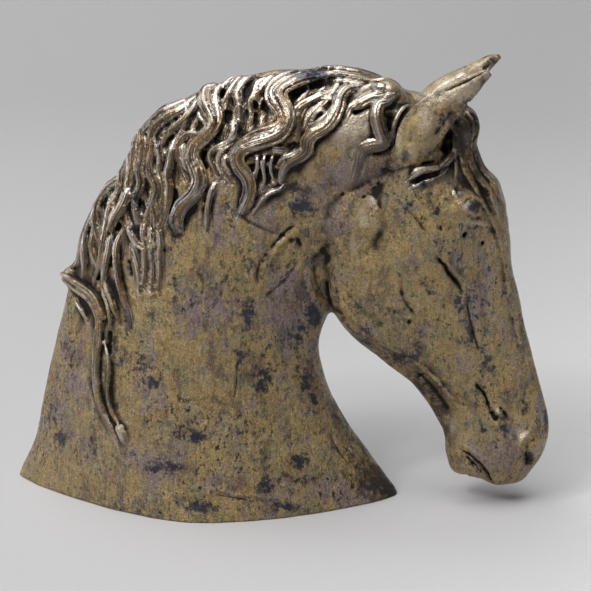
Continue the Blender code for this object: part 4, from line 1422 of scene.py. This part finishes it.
def glaze_colour(bench, place, combed, relief, swell, mane):
    """The whole glaze: body, coils, marks, painted highlights, painted shade under coils and in pooled
    hollows.
    """
    fade = bench.sum("MULTIPLY", mane, spread(bench, swell, -0.8, 0.4, 0.6, 1.0))
    colour = tinted(bench, body_colour(bench, place), coil_colour(bench, combed), fade)
    colour = dark_marks(bench, place, mane, colour)
    # Painted highlight: pale cream over the raised parts of the shining patches.
    shine_and_painted_highlight = bench.sum("MULTIPLY", stored(bench, "shine_and_painted_highlight"), spread(bench, relief, -0.25, 0.0))
    colour = tinted(bench, colour, PAINTED_HIGHLIGHT_CREAM, bench.sum("MULTIPLY", shine_and_painted_highlight, 0.75))
    # Painted shade: iron brown on the coils' sides that face away from the light.
    shaded = bench.sum("MULTIPLY", stored(bench, "painted_underside_shade"), bench.sum("MULTIPLY", mane, mane))
    colour = tinted(bench, colour, IRON_BROWN, bench.sum("MULTIPLY", shaded, 1.5))
    # Pooled glaze and painted shade: iron brown in the broad sunk places, and near black in the gaps and
    # cuts.
    sunk_pool_and_shade = bench.sum("MULTIPLY", spread(bench, swell, -0.3, -1.6), 0.85)
    colour = tinted(bench, colour, IRON_BROWN, sunk_pool_and_shade)
    return tinted(bench, colour, HOLLOW_POOL_AND_SHADE, spread(bench, relief, -0.05, -0.26, 0, 0.97))


def glaze_bump(bench, place, combed, mane):
    """Lumps, grit and brush marks on the body, and fine combed lines on the coils."""
    lumps = noise_layer(bench, place, 2.4, 4, 0.6, turn=5)
    grit = noise_layer(bench, place, 0.6, 3, 0.65, turn=9)
    brushed = noise_layer(bench, place, 1.5, 3, 0.6, (1, 1, 0.22), 23)
    bare = bench.sum("SUBTRACT", 1.0, bench.sum("MULTIPLY", mane, 0.85))
    height = bench.sum("MULTIPLY", bench.sum("MULTIPLY", lumps, 1.0), bare)
    height = bench.sum("ADD", height, bench.sum("MULTIPLY", bench.sum("MULTIPLY", grit, 0.6), bare))
    height = bench.sum("ADD", height, bench.sum("MULTIPLY", bench.sum("MULTIPLY", brushed, 0.6), bare))
    hair = noise_layer(bench, combed, 0.8, 0, 0.5, (1, 0.02, 1), 3)
    height = bench.sum("ADD", height, bench.sum("MULTIPLY", bench.sum("MULTIPLY", hair, mane), 0.7))
    bump = bench.node("ShaderNodeBump")
    bump.inputs["Strength"].default_value = 1.0
    bump.inputs["Distance"].default_value = 0.8 * MM
    bench.feed(bump.inputs["Height"], height)
    return bump.outputs["Normal"]


def bronze_glaze():
    """A metallic olive glaze, blue-black where it pooled, brown in the hollows and glossy on the coils,
    with highlights and shade painted in.
    """
    material = bpy.data.materials.new("bronze_glaze")
    material.use_nodes = True
    bench = Bench(material.node_tree)
    shader = bench.tree.nodes["Principled BSDF"]
    spot = bench.node("ShaderNodeTexCoord").outputs["Object"]
    place = bench.node("ShaderNodeMapping")
    bench.feed(place.inputs["Vector"], spot)
    place.inputs["Scale"].default_value = (1000, 1000, 1000)
    place = place.outputs["Vector"]
    both = bench.node("ShaderNodeCombineXYZ")
    bench.feed(both.inputs["X"], stored(bench, "across"))
    bench.feed(both.inputs["Y"], stored(bench, "along"))
    combed = both.outputs["Vector"]
    relief, swell, mane = stored(bench, "relief"), stored(bench, "swell"), stored(bench, "mane")
    bench.feed(shader.inputs["Base Color"], glaze_colour(bench, place, combed, relief, swell, mane))
    matt = noise_layer(bench, place, 4, 5, 0.65, turn=13)
    satin = spread(bench, matt, 0.35, 0.65, 0.3, 0.5)
    shine = bench.sum("MAXIMUM", mane, stored(bench, "shine_and_painted_highlight"))
    beads = spread(bench, noise_layer(bench, place, 1.3, 2, 0.6, turn=37), 0.5, 0.58, 1, 0.1)
    dry = bench.sum("MULTIPLY", spread(bench, stored(bench, "burnt_and_painted_shade"), 0.3, 1.0), beads)
    wet = bench.sum("SUBTRACT", 1.0, dry)
    shine = bench.sum("MAXIMUM", shine, spread(bench, stored(bench, "burnt_and_painted_shade"), 0.5, 1.0, 0, 0.8))
    satin = bench.sum("ADD", satin, bench.sum("MULTIPLY", dry, 0.25))
    shine = bench.sum("MULTIPLY", shine, wet)
    bench.feed(shader.inputs["Roughness"], bench.sum("SUBTRACT", satin, bench.sum("MULTIPLY", shine, 0.16)))
    metal = bench.sum("ADD", 0.45, bench.sum("MULTIPLY", shine, 0.25))
    bench.feed(shader.inputs["Metallic"], bench.sum("MULTIPLY", metal, bench.sum("MAXIMUM", wet, 0.15)))
    film = spread(bench, noise_layer(bench, place, 3, 4, 0.6, turn=77), 0.42, 0.6, 0.1, 0.5)
    coat = bench.sum("MULTIPLY", bench.sum("MAXIMUM", film, shine), spread(bench, relief, -0.3, -0.05))
    bench.feed(shader.inputs["Coat Weight"], coat)
    shader.inputs["Specular IOR Level"].default_value = 0.35
    shader.inputs["Coat Roughness"].default_value = 0.08
    bench.feed(shader.inputs["Normal"], glaze_bump(bench, place, combed, mane))
    return material


def modelled_bust(glaze):
    """The bust, worked in the order of the clay: masses, mane, face, tool marks, glaze."""
    tree, sizes = rolled_coils()
    body = fused("body", body_masses(), BODY_GRAIN, BODY_SOFTENING)
    skin = skin_of(body)
    under = [line for row in ROWS for line in row_lines(skin, *row)]
    drawn = drawn_lines(skin, LOCKS) + loose_lines(skin, CREST_LOCKS)
    hanging = drawn_lines(skin, HANGING_LOCK)
    forelock = loose_lines(skin, FORELOCK)
    hollows = strokes_on(skin, HOLLOWS, (-1,)) + strokes_on(skin, SOCKETS, (-1, 1))
    eyes = [eyeball(skin, side) for side in (-1, 1)]
    layered = [body, rolled("under", under, tree, sizes, glaze)]
    layered = fused("layered", layered, MANE_GRAIN, MANE_SOFTENING)
    stroked(layered, hollows)
    added = [rolled("over", drawn + hanging + forelock, tree, sizes, glaze), ear(-1), ear(1), *eyes]
    bust = fused("bust", [layered, *added], SKIN_GRAIN, SKIN_SOFTENING)
    skin = skin_of(bust)
    stroked(bust, strokes_on(skin, GROOVES + MOUTH, (-1, 1)) + strokes_on(skin, CUTS, (-1,)))
    hand_worked(bust)
    bust = thinned(bust, TRIANGLES)
    cut_flat(bust)
    without_crumbs(bust)
    before = read(bust.data, "co")[0].copy()
    fitted(bust)
    shift = Vector(read(bust.data, "co")[0] - before)
    mark_relief(bust)
    mark_mane(bust, ((under + drawn, 1.0), (hanging, HANGING_SHARE), (forelock, FORELOCK_SHARE)), shift)
    mark_glaze(bust, shift)
    mark_painted_underside_shade(bust)
    bust.data.materials.clear()
    bust.data.materials.append(glaze)
    bust.data.shade_smooth()
    return bust


def flat_colour(name, colour, roughness):
    """A plain material of one colour."""
    material = bpy.data.materials.new(name)
    material.use_nodes = True
    shader = material.node_tree.nodes["Principled BSDF"]
    shader.inputs["Base Color"].default_value = colour
    shader.inputs["Roughness"].default_value = roughness
    return material


# The paper under and behind the bust, in metres: its front edge, where its bend starts, the bend's radius
# and steps, its top, half its width, and how far below the foot it lies.
PAPER_FRONT = -1.2
PAPER_BACK = 0.75
PAPER_BEND = 0.6
PAPER_STEPS = 12
PAPER_TOP = 3.0
PAPER_HALF_WIDTH = 3.0
PAPER_GAP = 0.0002
PAPER_COLOUR = (0.52, 0.515, 0.52, 1)
PAPER_ROUGHNESS = 0.75

# Softboxes: name, place, the spot that each faces, size in metres, power in watts and spread in degrees.
SOFTBOXES = (
    ("top_softbox", (-0.34, -0.1, 1.2), (0.0, -0.02, 0.0), (1.7, 0.9), 14, 180),
    ("key_strip", (-1.9, -1.9, 3.0), (-0.02, 0.0, 0.12), (0.4, 1.6), 42, 180),
    ("small_key", (-0.7, -1.4, 1.8), (0.0, 0.0, 0.14), (0.2, 0.2), 6.5, 180),
    ("side_strip", (-1.5, 0.25, 0.5), (-0.05, 0.0, 0.12), (0.25, 1.0), 3.4, 180),
    ("front_fill", (-0.5, -1.5, 0.5), (0.0, 0.0, 0.08), (0.8, 0.8), 0.7, 180),
    ("paper_light", (0.52, 0.35, 0.9), (0.54, 0.42, 0.0), (0.3, 1.6), 2.2, 60),
)
ROOM_COLOUR = (0.85, 0.85, 0.87, 1)
ROOM_LIGHT = 0.1


def paper_sweep():
    """Pale paper that lies under the bust and rises behind it in one curve."""
    profile = [(PAPER_FRONT, 0.0), (PAPER_BACK, 0.0)]
    for step in range(1, PAPER_STEPS + 1):
        angle = math.radians(90 / PAPER_STEPS * step)
        forth, up = PAPER_BEND * math.sin(angle), PAPER_BEND - PAPER_BEND * math.cos(angle)
        profile.append((PAPER_BACK + forth, up))
    profile.append((PAPER_BACK + PAPER_BEND, PAPER_TOP))
    sculpt = bmesh.new()
    ends = (-PAPER_HALF_WIDTH, PAPER_HALF_WIDTH)
    rows = [[sculpt.verts.new((x, y, z - PAPER_GAP)) for x in ends] for y, z in profile]
    for near, far in zip(rows, rows[1:]):
        sculpt.faces.new((near[0], near[1], far[1], far[0]))
    sweep = shell("paper_sweep", sculpt)
    sweep.data.materials.append(flat_colour("pale_paper", PAPER_COLOUR, PAPER_ROUGHNESS))
    sweep.data.shade_smooth()


def softbox(name, place, aim, size, power, spread_angle):
    """A rectangular area light that faces one spot."""
    light = bpy.data.lights.new(name, "AREA")
    light.shape = "RECTANGLE"
    light.size, light.size_y = size
    light.energy = power
    light.spread = math.radians(spread_angle)
    thing = bpy.data.objects.new(name, light)
    thing.location = place
    thing.rotation_euler = (Vector(aim) - Vector(place)).to_track_quat("-Z", "Y").to_euler()
    bpy.context.scene.collection.objects.link(thing)


def studio():
    """The paper, the softboxes and the dim light of the room."""
    paper_sweep()
    for box in SOFTBOXES:
        softbox(*box)
    world = bpy.data.worlds.new("room")
    world.use_nodes = True
    world.node_tree.nodes["Background"].inputs["Color"].default_value = ROOM_COLOUR
    world.node_tree.nodes["Background"].inputs["Strength"].default_value = ROOM_LIGHT
    bpy.context.scene.world = world


def camera():
    """A camera where the viewer stands."""
    lens = bpy.data.cameras.new("camera")
    lens.lens = LENS
    lens.sensor_width = 36
    lens.clip_start = 0.05
    thing = bpy.data.objects.new("camera", lens)
    thing.location = Vector(EYE) * MM
    way = Vector(AIM) - Vector(EYE)
    thing.rotation_euler = way.to_track_quat("-Z", "Y").to_euler()
    bpy.context.scene.collection.objects.link(thing)
    bpy.context.scene.camera = thing


bust = modelled_bust(bronze_glaze())
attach(bust, "root")
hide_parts("horse_bust")
studio()
camera()
bpy.context.scene.view_settings.view_transform = "Standard"
